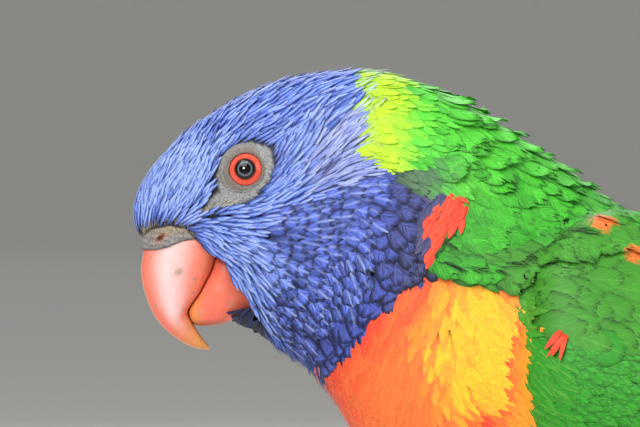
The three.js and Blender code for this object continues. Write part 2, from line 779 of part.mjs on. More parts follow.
const finish = (color, roughness) => new THREE.MeshStandardMaterial({ color, roughness, metalness: 0 });
const FINISHES = {
  blue: finish(0x4a68d8, 0.75),
  lime: finish(0xb8e62a, 0.75),
  green: finish(0x3fae2c, 0.75),
  orange: finish(0xf58a2a, 0.75),
  bill: finish(0xe8674c, 0.4),
  cere: finish(0x8d8a88, 0.6),
  iris: finish(0xe0452e, 0.15),
  skin: finish(0x77736f, 0.7),
  horn: finish(0x3d3a38, 0.45),
};

const bird = new THREE.Group();

function add(name, made, finished) {
  const mesh = new THREE.Mesh(geometryOf(made), finished);
  mesh.name = name;
  bird.add(mesh);
}

function addPair(name, made, finished) {
  add(`${name}_left`, made, finished);
  add(`${name}_right`, mirrored(made), finished);
}

add("head", head(), FINISHES.blue);
add("cere", cere(), FINISHES.cere);
add("upper_bill", upperBill(), FINISHES.bill);
add("lower_bill", lowerBill(), FINISHES.bill);
addPair("eye", eyeball(1, EYE_RADIUS), FINISHES.iris);
add("neck", neck(), FINISHES.lime);
add("torso", torso(), FINISHES.orange);
addPair("wing", wing(), FINISHES.green);
add("tail", tail(), FINISHES.green);
addPair("thigh", thigh(), FINISHES.green);
addPair("foot", foot(), FINISHES.skin);
for (const shape of TOES) addPair(`claw_${shape.name}`, claw(shape), FINISHES.horn);

// Set the bird on the floor, with the middle of its plan over the origin
const plan = new THREE.Box3().setFromObject(bird);
const middle = plan.getCenter(new THREE.Vector3());
bird.position.set(-middle.x, -middle.y, EYE_HEIGHT);

export default bird;
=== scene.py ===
"""A rainbow lorikeet, life size, standing at rest: skin, eyes, bill, plumage, wings, tail and feet."""
import math
from functools import partial

import bpy
import numpy as np
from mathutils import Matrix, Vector
from mathutils.bvhtree import BVHTree
from mathutils.kdtree import KDTree


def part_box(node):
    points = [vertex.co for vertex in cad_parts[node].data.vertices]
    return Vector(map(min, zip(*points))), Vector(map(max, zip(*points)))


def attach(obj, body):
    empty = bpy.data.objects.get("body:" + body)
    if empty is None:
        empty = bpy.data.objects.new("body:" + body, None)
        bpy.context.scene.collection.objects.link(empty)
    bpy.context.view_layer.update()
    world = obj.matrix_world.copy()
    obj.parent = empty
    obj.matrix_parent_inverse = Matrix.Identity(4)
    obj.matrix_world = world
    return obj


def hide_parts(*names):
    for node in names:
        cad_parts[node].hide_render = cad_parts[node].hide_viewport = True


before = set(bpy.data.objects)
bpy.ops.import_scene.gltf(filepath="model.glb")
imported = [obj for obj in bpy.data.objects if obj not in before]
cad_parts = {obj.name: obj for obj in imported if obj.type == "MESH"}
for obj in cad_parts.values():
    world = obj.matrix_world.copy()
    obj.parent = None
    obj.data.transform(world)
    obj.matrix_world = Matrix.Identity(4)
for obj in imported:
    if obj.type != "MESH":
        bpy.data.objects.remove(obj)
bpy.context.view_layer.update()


# Camera, lights and stage. The camera looks square at the bird's left side with a long lens, close in
# on the head and shoulder. Shapes below are in millimetres behind and above the centre of the eye, and
# eye_place is where that centre lies in the frame. The floor is a wide pale disc that curves up far off.
eyeball_low, eyeball_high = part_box("eye_left")
EYEBALL_BEHIND = 0.296
EYEBALL_ABOVE = -0.356
eye_place = np.array([
    0.0,
    500 * (eyeball_low[1] + eyeball_high[1]) - EYEBALL_BEHIND,
    500 * (eyeball_low[2] + eyeball_high[2]) - EYEBALL_ABOVE,
])


def metres(points):
    """Points in millimetres from the eye, in metres in the frame."""
    return (np.asarray(points, dtype=float) + eye_place) / 1000


PICTURE_WIDTH = 118.5
AIM = [14.0, 13.8, -8.15]
LENS = 300.0
SENSOR = 36.0
CLIP_END = 60
aim_point = Vector(metres(AIM))
camera_data = bpy.data.cameras.new("camera")
camera_data.lens = LENS
camera_data.sensor_width = SENSOR
camera_data.clip_end = CLIP_END
camera = bpy.data.objects.new("camera", camera_data)
bpy.context.scene.collection.objects.link(camera)
camera.location = aim_point + Vector((PICTURE_WIDTH / 1000 * LENS / SENSOR, 0, 0))
camera.rotation_euler = (math.radians(90), 0, math.radians(90))
bpy.context.scene.camera = camera

# Name, place and size in metres, watts and colour of the square soft lamps
LAMPS = (
    ("key_light", (0.75, -0.45, 0.95), 0.8, 10.4, (1.0, 0.97, 0.92)),
    ("fill_light", (0.3, 0.95, 0.5), 0.8, 4.0, (0.93, 0.96, 1.0)),
    ("far_light", (-0.8, -0.2, 0.7), 0.7, 6.0, (1.0, 1.0, 1.0)),
    ("catch_light", (0.92, -0.42, 0.4), 0.16, 3.2, (1.0, 1.0, 1.0)),
)
SHOULDER = Vector((0, -0.05, 0.07))
for name, place, size, watts, colour in LAMPS:
    lamp_data = bpy.data.lights.new(name, "AREA")
    lamp_data.shape = "SQUARE"
    lamp_data.size = size
    lamp_data.energy = watts
    lamp_data.color = colour
    lamp = bpy.data.objects.new(name, lamp_data)
    bpy.context.scene.collection.objects.link(lamp)
    lamp.location = place
    lamp.rotation_euler = (SHOULDER - lamp.location).to_track_quat("-Z", "Y").to_euler()
ROOM_COLOUR = (0.9, 0.92, 0.95, 1)
ROOM_STRENGTH = 0.7
world = bpy.data.worlds.new("room")
bpy.context.scene.world = world
world.use_nodes = True
world.node_tree.nodes["Background"].inputs["Color"].default_value = ROOM_COLOUR
world.node_tree.nodes["Background"].inputs["Strength"].default_value = ROOM_STRENGTH
bpy.context.scene.view_settings.view_transform = "Standard"


def linear(colour):
    """Linear red, green and blue from a screen colour given from 0 to 255."""
    c = np.asarray(colour, dtype=float) / 255
    return np.where(c <= 0.04045, c / 12.92, ((c + 0.055) / 1.055) ** 2.4)


def plain_material(name, colour, roughness):
    """A material and its shader, of one colour to begin with."""
    material = bpy.data.materials.new(name)
    material.use_nodes = True
    shader = material.node_tree.nodes["Principled BSDF"]
    shader.inputs["Base Color"].default_value = (*linear(colour), 1)
    shader.inputs["Roughness"].default_value = roughness
    return material, shader


def new_object(name, mesh):
    """An object of a mesh, in the scene."""
    piece = bpy.data.objects.new(name, mesh)
    bpy.context.scene.collection.objects.link(piece)
    return piece


def set_colours(piece, title, values):
    """Stores a colour at each point of a piece."""
    values = np.asarray(values, dtype=float).reshape(len(piece.data.vertices), -1)
    layer = piece.data.color_attributes.new(title, "FLOAT_COLOR", "POINT")
    layer.data.foreach_set("color", np.column_stack([values, np.ones(len(values))]).ravel())


def mesh_piece(name, points, faces, colours=None):
    """A smooth object in the frame from points in millimetres, faces of four corners and point colours."""
    mesh = bpy.data.meshes.new(name)
    points = metres(points).reshape(-1, 3)
    faces = np.asarray(faces, dtype=np.int32).reshape(-1, 4)
    mesh.vertices.add(len(points))
    mesh.vertices.foreach_set("co", points.ravel())
    mesh.loops.add(faces.size)
    mesh.loops.foreach_set("vertex_index", faces.ravel())
    mesh.polygons.add(len(faces))
    mesh.polygons.foreach_set("loop_start", np.arange(0, faces.size, 4, dtype=np.int32))
    mesh.update(calc_edges=True)
    mesh.polygons.foreach_set("use_smooth", np.ones(len(faces), dtype=bool))
    piece = new_object(name, mesh)
    for title, values in (colours or {}).items():
        set_colours(piece, title, values)
    return piece


def grid_faces(rows, columns, closed):
    """Faces of four corners over a grid of points, which may close on itself across its rows."""
    across = np.arange(columns if closed else columns - 1)
    along = np.arange(rows - 1)[:, None] * columns
    a = along + across
    b = along + (across + 1) % columns
    return np.stack([a, b, b + columns, a + columns], axis=-1).reshape(-1, 4)


def turned_about_z(profile, count):
    """Points of a profile of radius and height turned about the upright axis."""
    angle = np.linspace(0, 2 * np.pi, count, endpoint=False)
    radius, height = np.asarray(profile, dtype=float).T
    x = radius[:, None] * np.cos(angle)
    y = radius[:, None] * np.sin(angle)
    return np.stack([x, y, np.repeat(height[:, None], count, axis=1)], axis=-1)


# Radius and height of the floor, in millimetres in the frame
FLOOR_PROFILE = [(1, 0), (2000, 0), (13000, 0), (15000, 200), (16500, 1000), (17300, 3000), (17500, 16000)]
FLOOR_SIDES = 96
floor_points = turned_about_z(FLOOR_PROFILE, FLOOR_SIDES).reshape(-1, 3) - eye_place
floor = mesh_piece("floor", floor_points, grid_faces(len(FLOOR_PROFILE), FLOOR_SIDES, True))
floor.data.materials.append(plain_material("pale_floor", (205, 203, 198), 0.75)[0])


# Skin of the head, neck, trunk and thighs: one closed hide under the plumage, a little inside the
# outline of the feathers. It is bare and grey round the eyes and dark everywhere else, and its front is
# cut back along the edge of the feathering round the bill.
# Along the trunk from the face to the tail: back, behind and above, underside, behind and above, half width
SECTIONS = np.array([
    [-20.5, -12.6, -1.4, -28.2, 6.9],
    [-21.2, -6.5, 1.6, -29.7, 7.8],
    [-18.6, -0.4, 4.6, -31.5, 8.9],
    [-12.4, 6.4, 7.4, -33.7, 10.9],
    [-4.6, 12.0, 10.2, -35.7, 12.7],
    [4.4, 16.3, 12.8, -37.8, 14.0],
    [13.8, 18.4, 15.2, -40.8, 15.3],
    [23.5, 18.8, 17.4, -44.2, 17.0],
    [33.0, 16.2, 20.4, -49.2, 19.2],
    [43.0, 11.2, 25.2, -54.9, 21.6],
    [53.5, 4.6, 32.6, -60.6, 23.8],
    [66.0, -4.4, 43.5, -66.0, 25.2],
    [82.0, -12.6, 59.0, -71.4, 25.0],
    [100.0, -21.6, 79.0, -74.6, 22.8],
    [118.0, -30.2, 100.0, -72.4, 18.6],
    [134.0, -37.6, 120.0, -65.4, 13.2],
    [147.0, -43.6, 142.0, -55.4, 8.8],
])
LAST_SECTION = len(SECTIONS) - 1
CROWN_TAPER = 0.12
FULLNESS = 0.84


def along_table(table, u):
    """Values of a table at places between its rows, on a smooth curve through them."""
    table = np.asarray(table, dtype=float)
    u = np.clip(np.asarray(u, dtype=float), 0, len(table) - 1)
    i = np.minimum(u.astype(int), len(table) - 2)
    t = (u - i)[..., None]
    p0, p1 = table[np.maximum(i - 1, 0)], table[i]
    p2, p3 = table[i + 1], table[np.minimum(i + 2, len(table) - 1)]
    v0, v1 = (p2 - p0) / 2, (p3 - p1) / 2
    return (2 * p1 - 2 * p2 + v0 + v1) * t**3 + (-3 * p1 + 3 * p2 - 2 * v0 - v1) * t**2 + v0 * t + p1


def ring_point(table, u, angle, grow, taper, fullness):
    """Points of a body given by sections, at a section number and an angle from the back round the side."""
    row = along_table(table, u)
    back, under, half = row[..., 0:2], row[..., 2:4], row[..., 4]
    along = under - back
    along /= np.linalg.norm(along, axis=-1, keepdims=True)
    grow = np.broadcast_to(grow, half.shape)
    back = back - along * grow[..., None]
    under = under + along * grow[..., None]
    c = np.sign(np.cos(angle)) * np.abs(np.cos(angle)) ** fullness
    s = np.sign(np.sin(angle)) * np.abs(np.sin(angle)) ** fullness
    middle = back + (under - back) * ((1 - c) / 2)[..., None]
    return np.concatenate([((half + grow) * s * (1 - taper * c))[..., None], middle], axis=-1)


def body_point(u, angle, grow=0.0):
    """Points of the trunk, neck and head as the plumage outlines them."""
    return ring_point(SECTIONS, u, angle, grow, CROWN_TAPER, FULLNESS)


# Depth of the skin at these sections, and the ring round the eye where it comes up to the lid
DEPTH_AT = ([0, 3, 6, 8, 11, 14, 16], [0.7, 0.9, 1.3, 2.0, 2.6, 2.4, 1.2])
EYE_RING = 6.5
EYE_RISE = 0.75


def coat_depth(u, y, z):
    """How far the skin lies under the outline of the plumage: least on the face, most on the breast."""
    depth = np.interp(u, *DEPTH_AT)
    return depth - EYE_RISE * np.exp(-((np.hypot(y, z) / EYE_RING) ** 4)) * depth


SKIN_ROWS = 230
SKIN_COLUMNS = 150
def ring_grid(last_section, rows, columns):
    """Section numbers and angles of the points of rings along a body."""
    angle = np.linspace(0, 2 * np.pi, columns, endpoint=False)
    return np.meshgrid(np.linspace(0, last_section, rows), angle, indexing="ij")


skin_u, skin_angle = ring_grid(LAST_SECTION, SKIN_ROWS, SKIN_COLUMNS)
outline = body_point(skin_u, skin_angle)
skin_points = body_point(skin_u, skin_angle, -coat_depth(skin_u, outline[..., 1], outline[..., 2]))


def closed_loft(rings):
    """Points and faces of rings closed at both ends by a fan of thin corners to their middle."""
    rows, columns = rings.shape[:2]
    ends = np.stack([rings[0].mean(axis=0), rings[-1].mean(axis=0)])
    first = np.repeat(ends[0][None, None], columns, axis=1)
    last = np.repeat(ends[1][None, None], columns, axis=1)
    points = np.concatenate([first, rings, last], axis=0)
    return points.reshape(-1, 3), grid_faces(rows + 2, columns, True)


STEEP = 0.45


def tube_rings(path, radius, rows, columns):
    """Rings round a smooth curve through points, from a radius at each of its points."""
    path = np.asarray(path, dtype=float)
    u = np.linspace(0, len(path) - 1, rows)
    centre = along_table(path, u)
    tangent = np.gradient(centre, axis=0)
    tangent /= np.linalg.norm(tangent, axis=-1, keepdims=True)
    across = np.cross([0.0, 0.0, 1.0], tangent)
    across[np.linalg.norm(across, axis=-1) < STEEP] = [1.0, 0.0, 0.0]
    across /= np.linalg.norm(across, axis=-1, keepdims=True)
    over = np.cross(tangent, across)
    across = np.cross(over, tangent)
    r = along_table(np.asarray(radius, dtype=float)[:, None], u * (len(radius) - 1) / (len(path) - 1))
    angle = np.linspace(0, 2 * np.pi, columns, endpoint=False)[:, None]
    around = across[:, None] * np.cos(angle) + over[:, None] * np.sin(angle)
    return centre[:, None] + around * r[:, None]


MERGE_WITHIN = 0.000005


def pick(piece):
    """Makes a piece the active one and the only one selected."""
    bpy.ops.object.select_all(action="DESELECT")
    bpy.context.view_layer.objects.active = piece
    piece.select_set(True)


def merge_and_point_out(piece):
    """Merges doubled points and turns all faces outwards."""
    pick(piece)
    bpy.ops.object.mode_set(mode="EDIT")
    bpy.ops.mesh.select_all(action="SELECT")
    bpy.ops.mesh.remove_doubles(threshold=MERGE_WITHIN)
    bpy.ops.mesh.normals_make_consistent(inside=False)
    bpy.ops.object.mode_set(mode="OBJECT")


def apply_modifier(piece, kind, **settings):
    """Adds a modifier with these settings and applies it."""
    pick(piece)
    modifier = piece.modifiers.new(kind.lower(), kind)
    for key, value in settings.items():
        setattr(modifier, key, value)
    bpy.ops.object.modifier_apply(modifier=modifier.name)


def combine(piece, other, operation):
    """Joins a piece with another one or cuts it by that, which is then taken away."""
    merge_and_point_out(other)
    apply_modifier(piece, "BOOLEAN", operation=operation, object=other, solver="EXACT")
    bpy.data.objects.remove(other)


skin = mesh_piece("skin", *closed_loft(skin_points))
merge_and_point_out(skin)

LEG_SPREAD = 13.0
FOOT_BEHIND = 70.0
FLOOR_LEVEL = -eye_place[2]
KNUCKLE = np.array([LEG_SPREAD, FOOT_BEHIND, FLOOR_LEVEL + 3.0])
TARSUS_LENGTH = 20.0
TARSUS_LEAN = math.radians(28)
ANKLE = KNUCKLE + TARSUS_LENGTH * np.array([0.0, math.sin(TARSUS_LEAN), math.cos(TARSUS_LEAN)])
THIGH_PATH = [
    [LEG_SPREAD + 1.0, FOOT_BEHIND + 6.0, -56.0],
    [LEG_SPREAD + 1.5, FOOT_BEHIND + 6.5, -66.0],
    [LEG_SPREAD + 0.6, FOOT_BEHIND + 8.4, -75.0],
    [ANKLE[0], ANKLE[1] - 0.4, ANKLE[2] + 0.4],
]
THIGH_RADII = [9.5, 8.0, 4.6, 2.6]
THIGH_ROWS = 30
THIGH_COLUMNS = 40
thigh_points, thigh_faces = closed_loft(tube_rings(THIGH_PATH, THIGH_RADII, THIGH_ROWS, THIGH_COLUMNS))
for sign in (1, -1):
    combine(skin, mesh_piece("thigh_skin", thigh_points * [sign, 1, 1], thigh_faces), "UNION")

FACE_EDGE = [
    (-24.0, -13.4), (-20.6, -12.6), (-18.4, -11.2), (-14.2, -10.4), (-11.2, -11.0), (-9.2, -13.2),
    (-4.9, -16.1), (-2.3, -19.2), (-0.1, -22.2), (1.6, -24.9), (2.4, -26.8), (3.0, -28.9), (2.6, -33.0),
]
face_plate = FACE_EDGE + [(-40.0, -33.0), (-40.0, -13.4)]


PLATE_REACH = 20.0


def side_plate(name, outline):
    """A block across the whole width of the head, from an outline in side view."""
    y, z = np.array(outline).T
    mesh = bpy.data.meshes.new(name)
    count = len(outline)
    left = metres(np.column_stack([np.full(count, PLATE_REACH), y, z]))
    right = metres(np.column_stack([np.full(count, -PLATE_REACH), y, z]))
    sides = [[i, (i + 1) % count, count + (i + 1) % count, count + i] for i in range(count)]
    ends = [list(range(count))[::-1], list(range(count, 2 * count))]
    mesh.from_pydata(np.concatenate([left, right]).tolist(), [], sides + ends)
    return new_object(name, mesh)


combine(skin, side_plate("face_plate", face_plate), "DIFFERENCE")

EYE_FACING = np.array([1.0, -0.1, 0.12]) / np.linalg.norm([1.0, -0.1, 0.12])
EYE_RADIUS = 4.3
EYE_OPENING = 3.05
eye_centres = {sign: np.array([0.0, EYEBALL_BEHIND, EYEBALL_ABOVE]) for sign in (1, -1)}
for sign in (1, -1):
    eye_centres[sign][0] = sign * 500 * (eyeball_low[0] + eyeball_high[0])


def turn_to(facing, points):
    """Points made about the upright axis, turned so that this axis faces a way."""
    turn = np.array(Vector((0, 0, 1)).rotation_difference(Vector(facing)).to_matrix())
    return points @ turn.T


SOCKET_PROFILE = [(0.001, 0.3), (EYE_OPENING, 0.3), (EYE_OPENING, 6.0), (0.001, 6.0)]
SOCKET_SIDES = 48
for sign in (1, -1):
    facing = EYE_FACING * [sign, 1, 1]
    socket_points = turn_to(facing, turned_about_z(SOCKET_PROFILE, SOCKET_SIDES)) + eye_centres[sign]
    combine(skin, mesh_piece("socket", socket_points, grid_faces(4, SOCKET_SIDES, True)), "DIFFERENCE")

BARE_PATCH = np.array([
    (-4.1, 3.1), (-2.5, 4.4), (-0.1, 5.0), (2.6, 4.9), (4.9, 3.6), (5.2, 1.2), (4.2, -2.3), (2.0, -4.9),
    (-1.5, -6.6), (-5.7, -7.9), (-8.4, -8.2), (-8.4, -7.3), (-6.4, -5.4), (-4.7, -3.8), (-5.2, -3.0),
    (-5.4, 0.9),
])


def inside(outline, y, z):
    """Which of these places lie inside an outline in side view."""
    y, z = np.asarray(y, dtype=float), np.asarray(z, dtype=float)
    hit = np.zeros(y.shape, dtype=bool)
    for (y0, z0), (y1, z1) in zip(outline, np.roll(outline, -1, axis=0)):
        crosses = (z0 > z) != (z1 > z)
        with np.errstate(divide="ignore", invalid="ignore"):
            hit ^= crosses & (y < y0 + (z - z0) * (y1 - y0) / (z1 - z0))
    return hit


def points_of(piece):
    """A piece's points in millimetres from the eye."""
    found = np.empty(3 * len(piece.data.vertices))
    piece.data.vertices.foreach_get("co", found)
    return found.reshape(-1, 3) * 1000 - eye_place


HEAD_SIDE = 5.0
skin_at = points_of(skin)
bare = inside(BARE_PATCH, skin_at[:, 1], skin_at[:, 2]) & (np.abs(skin_at[:, 0]) > HEAD_SIDE)
chin = (skin_at[:, 2] < -24) & (skin_at[:, 1] < 8)
skin_tone = np.where(bare[:, None], linear((158, 160, 162)), linear((52, 52, 62)))
skin_tone[chin] = linear((22, 22, 28))
set_colours(skin, "tone", skin_tone)


def attribute_colour(tree, title):
    """The colour that is stored under a name at the points."""
    node = tree.nodes.new("ShaderNodeAttribute")
    node.attribute_name = title
    return node.outputs["Color"]


def wire(tree, source, target):
    """Feeds an input from a socket, a number or a colour."""
    if isinstance(source, bpy.types.NodeSocket):
        tree.links.new(source, target)
    elif isinstance(source, (int, float)):
        target.default_value = source
    else:
        target.default_value = (*source, 1)


def math_node(tree, operation, *values):
    """The result of a math node fed by numbers and sockets."""
    node = tree.nodes.new("ShaderNodeMath")
    node.operation = operation
    for slot, value in zip(node.inputs, values):
        wire(tree, value, slot)
    return node.outputs[0]


def mixed(tree, share, first, second):
    """A colour mix of two sockets or colours by a share."""
    node = tree.nodes.new("ShaderNodeMix")
    node.data_type = "RGBA"
    node.clamp_factor = True
    for slot, value in ((node.inputs[0], share), (node.inputs[6], first), (node.inputs[7], second)):
        wire(tree, value, slot)
    return node.outputs[2]


def scaled_colour(tree, colour, factor):
    """A colour made lighter or darker by a factor."""
    node = tree.nodes.new("ShaderNodeVectorMath")
    node.operation = "SCALE"
    wire(tree, colour, node.inputs[0])
    wire(tree, factor, node.inputs["Scale"])
    return node.outputs[0]


def noise_node(tree, vector, scale, detail=3.0):
    """The value of a noise texture."""
    node = tree.nodes.new("ShaderNodeTexNoise")
    node.inputs["Scale"].default_value = scale
    node.inputs["Detail"].default_value = detail
    wire(tree, vector, node.inputs["Vector"])
    return node.outputs["Fac"]


def object_place(tree):
    """The place on the piece, in metres."""
    return tree.nodes.new("ShaderNodeTexCoord").outputs["Object"]


def bump_node(tree, shader, height, strength, distance):
    """Raises a surface by a height before it is shaded."""
    node = tree.nodes.new("ShaderNodeBump")
    node.inputs["Strength"].default_value = strength
    node.inputs["Distance"].default_value = distance
    wire(tree, height, node.inputs["Height"])
    wire(tree, node.outputs["Normal"], shader.inputs["Normal"])


def new_group(name, inputs):
    """A node group that puts out a colour and a height, and the nodes at its start and end."""
    group = bpy.data.node_groups.new(name, "ShaderNodeTree")
    for title, kind in inputs:
        group.interface.new_socket(title, in_out="INPUT", socket_type=f"NodeSocket{kind}")
    for title, kind in (("Colour", "Color"), ("Height", "Float")):
        group.interface.new_socket(title, in_out="OUTPUT", socket_type=f"NodeSocket{kind}")
    return group, group.nodes.new("NodeGroupInput").outputs, group.nodes.new("NodeGroupOutput").inputs


def skin_grain_group():
    """Bare skin: its tone with small grains and folds."""
    group, taken, given = new_group("skin_grain", (("Tone", "Color"), ("Grain", "Float")))
    calc = partial(math_node, group)
    place = object_place(group)
    cells = group.nodes.new("ShaderNodeTexVoronoi")
    wire(group, place, cells.inputs["Vector"])
    wire(group, taken["Grain"], cells.inputs["Scale"])
    fine = noise_node(group, place, 1400.0)
    broad = noise_node(group, place, 260.0)
    shade = calc("MULTIPLY_ADD", cells.outputs["Distance"], -0.55, 1.12)
    shade = calc("MULTIPLY", shade, calc("MULTIPLY_ADD", fine, 0.5, 0.72))
    shade = calc("MULTIPLY", shade, calc("MULTIPLY_ADD", broad, 0.35, 0.84))
    wire(group, scaled_colour(group, taken["Tone"], shade), given["Colour"])
    wire(group, calc("MULTIPLY_ADD", cells.outputs["Distance"], -1.0, fine), given["Height"])
    return group


def grouped_material(name, group, roughness, values, raised, reach):
    """A material whose colour and height come from a node group, fed by the stored tone and values."""
    material, shader = plain_material(name, (120, 120, 120), roughness)
    tree = material.node_tree
    node = tree.nodes.new("ShaderNodeGroup")
    node.node_tree = group
    wire(tree, attribute_colour(tree, "tone"), node.inputs["Tone"])
    for title, value in values.items():
        wire(tree, value, node.inputs[title])
    wire(tree, node.outputs["Colour"], shader.inputs["Base Color"])
    bump_node(tree, shader, node.outputs["Height"], raised, reach)
    return material, shader


skin_grain = skin_grain_group()


def skin_material(name, grain, roughness, raised):
    """Bare skin that reads its tone from the points."""
    return grouped_material(name, skin_grain, roughness, {"Grain": grain}, raised, 0.0003)[0]


def set_finish(piece, material):
    """Gives a piece this material alone and shades it smooth."""
    piece.data.materials.clear()
    piece.data.materials.append(material)
    piece.data.polygons.foreach_set("use_smooth", np.ones(len(piece.data.polygons), dtype=bool))


skin.data.materials.clear()
skin.data.materials.append(skin_material("bare_skin", 2600.0, 0.62, 0.7))
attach(skin, "root")
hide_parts("head", "neck", "torso", "thigh_left", "thigh_right")


# Eyes and lids. Each eye is a wet ball with an orange-red iris round a black pupil, set in a raised
# ring of bare grey skin whose rim presses on the ball.
# Distance from the axis of the eye and the tone there: pupil, its glint, the dark ring, iris and white
EYE_RINGS = [
    (0.0, (9, 10, 13)), (1.06, (12, 14, 18)), (1.14, (104, 114, 124)), (1.28, (112, 122, 132)),
    (1.4, (24, 21, 22)), (1.88, (34, 20, 17)), (2.04, (180, 56, 36)), (2.2, (238, 88, 64)),
    (2.85, (246, 92, 74)), (3.02, (206, 62, 48)), (3.15, (60, 24, 20)), (4.5, (30, 20, 20)),
]
EYE_ROWS = 90
EYE_COLUMNS = 96
CORNEA_RISE = 0.18
CORNEA_RADIUS = 2.2
iris_material, iris_shader = plain_material("eye", (20, 20, 20), 0.06)
iris_tree = iris_material.node_tree
iris_fibres = noise_node(iris_tree, object_place(iris_tree), 3400.0, 2.0)
iris_light = math_node(iris_tree, "MULTIPLY_ADD", iris_fibres, 0.5, 0.75)
iris_tone = scaled_colour(iris_tree, attribute_colour(iris_tree, "tone"), iris_light)
wire(iris_tree, iris_tone, iris_shader.inputs["Base Color"])
iris_shader.inputs["Specular IOR Level"].default_value = 0.35
ring_at, ring_tones = zip(*EYE_RINGS)
ring_tones = linear(ring_tones)
bow = np.linspace(0, np.pi, EYE_ROWS)
in_front = bow < np.pi / 2
eye_radius = EYE_RADIUS * np.sin(bow) + 0.0005
cornea = CORNEA_RISE * np.exp(-((eye_radius / CORNEA_RADIUS) ** 4)) * in_front
eye_profile = np.column_stack([eye_radius, EYE_RADIUS * np.cos(bow) + cornea])
off_axis = np.where(in_front, eye_radius, EYE_RADIUS)
eye_tones = np.column_stack([np.interp(off_axis, ring_at, ring_tones[:, k]) for k in range(3)])
eye_tones = np.repeat(eye_tones[:, None], EYE_COLUMNS, axis=1)
for sign, word in ((1, "left"), (-1, "right")):
    ball = turn_to(EYE_FACING * [sign, 1, 1], turned_about_z(eye_profile, EYE_COLUMNS)) + eye_centres[sign]
    eye = mesh_piece(f"eyeball_{word}", ball, grid_faces(EYE_ROWS, EYE_COLUMNS, True), {"tone": eye_tones})
    merge_and_point_out(eye)
    eye.data.materials.append(iris_material)
    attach(eye, "root")
    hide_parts(f"eye_{word}")

# Radius and height of the lid's section over the middle of the eye
LID_PROFILE = [
    (2.98, 2.6), (2.96, 3.05), (3.05, 3.28), (3.25, 3.4), (3.55, 3.38), (3.9, 3.16), (4.25, 2.86),
    (4.6, 2.55), (4.95, 2.2), (5.2, 1.7), (4.4, 1.2), (3.2, 1.6),
]
LID_ROWS = 72
LID_COLUMNS = 128
# Radius from the eye's axis and the lid's brightness there: painted shade darkens its rim on the ball
LID_PAINTED_SHADE = ([2.9, 3.12, 3.5, 4.6], [0.25, 0.75, 1.0, 0.95])
# Angle, width and tone of the paler stretches of the lid, partly painted highlight and partly its own paler
# rim
PALE_RIM_AND_HIGHLIGHT = ((2.0, 0.5, (196, 192, 186)), (0.4, 0.6, (190, 192, 196)))


def towards(tone, colour, share):
    """Tones moved towards a colour by shares from 0 to 1."""
    return tone + (linear(colour) - tone) * np.clip(share, 0, 1)[..., None]


lid_material = skin_material("lid_skin", 3200.0, 0.5, 0.8)
lid_profile = along_table(LID_PROFILE + LID_PROFILE[:1], np.linspace(0, len(LID_PROFILE), LID_ROWS + 1)[:-1])
lid_faces = grid_faces(LID_ROWS, LID_COLUMNS, True)
first_row = np.arange(LID_COLUMNS)
next_place = (first_row + 1) % LID_COLUMNS
last_row = (LID_ROWS - 1) * LID_COLUMNS
lid_seam = np.column_stack([first_row + last_row, next_place + last_row, next_place, first_row])
for sign, word in ((1, "left"), (-1, "right")):
    rim = turned_about_z(lid_profile, LID_COLUMNS)
    angle = np.arctan2(rim[..., 1], rim[..., 0])
    distance = np.hypot(rim[..., 0], rim[..., 1])
    folds = 0.035 * np.sin(distance * 11 + 1.2 * np.sin(3 * angle))
    folds = folds + 0.03 * np.sin(41 * angle + 3 * np.sin(5 * angle))
    rim[..., 2] += folds * np.clip(distance - 3.1, 0, 0.6) / 0.6
    lid_points = turn_to(EYE_FACING * [sign, 1, 1], rim) + eye_centres[sign]
    # Painted shade: the lid darker towards its rim where it presses on the eye
    lid_tone = linear((142, 132, 124)) * np.interp(distance, *LID_PAINTED_SHADE)[..., None]
    lid_tone = towards(lid_tone, (160, 158, 156), (distance - 3.7) / 0.9)
    # Painted highlight over part of the lid, together with its own paler rim
    for turned, wide, tone in PALE_RIM_AND_HIGHLIGHT:
        lit = np.exp(-(((angle * sign - turned + np.pi) % (2 * np.pi) - np.pi) / wide) ** 4)
        lid_tone = towards(lid_tone, tone, 0.7 * lit * np.clip((distance - 3.5) / 0.5, 0, 1))
    lid = mesh_piece(f"lid_{word}", lid_points, np.concatenate([lid_faces, lid_seam]), {"tone": lid_tone})
    merge_and_point_out(lid)
    lid.data.materials.append(lid_material)
    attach(lid, "root")


# Upper bill: one hooked horn, satin and orange-red with a painted pale highlight down its middle and a
# yellower tip, ridged finely across as it grows. Its root runs on under the cere and the face.
UPPER_BILL = np.array([
    [-18.0, -7.0, 0.0, -9.0, 6.4],
    [-19.3, -12.4, -3.6, -12.5, 6.9],
    [-19.4, -15.4, -5.1, -15.5, 7.0],
    [-19.8, -18.6, -6.0, -18.0, 6.8],
    [-19.5, -21.5, -6.9, -20.1, 6.4],
    [-18.5, -24.8, -8.1, -22.6, 5.6],
    [-17.0, -27.8, -9.6, -24.5, 4.8],
    [-14.6, -30.5, -10.9, -26.5, 3.7],
    [-11.5, -32.6, -10.1, -28.6, 2.6],
    [-8.8, -33.6, -8.8, -30.8, 1.7],
    [-6.9, -33.7, -7.2, -32.9, 0.6],
])
UPPER_TAPER = 0.16
BILL_FULLNESS = 0.8
REAR_FULLNESS = 0.62


def bill_rings(table, taper, rows, columns, grow=0.0, narrow_until=0.0):
    """Rings of a bill half, with its root drawn in where the face covers it."""
    u, angle = ring_grid(len(table) - 1, rows, columns)
    fullness = BILL_FULLNESS + (REAR_FULLNESS - BILL_FULLNESS) * np.clip(-1.5 * np.cos(angle), 0, 1)
    rings = ring_point(table, u, angle, grow, taper, fullness)
    if narrow_until:
        rings[..., 0] *= 0.78 + 0.22 * np.clip(u / narrow_until, 0, 1)
    return rings, u, angle


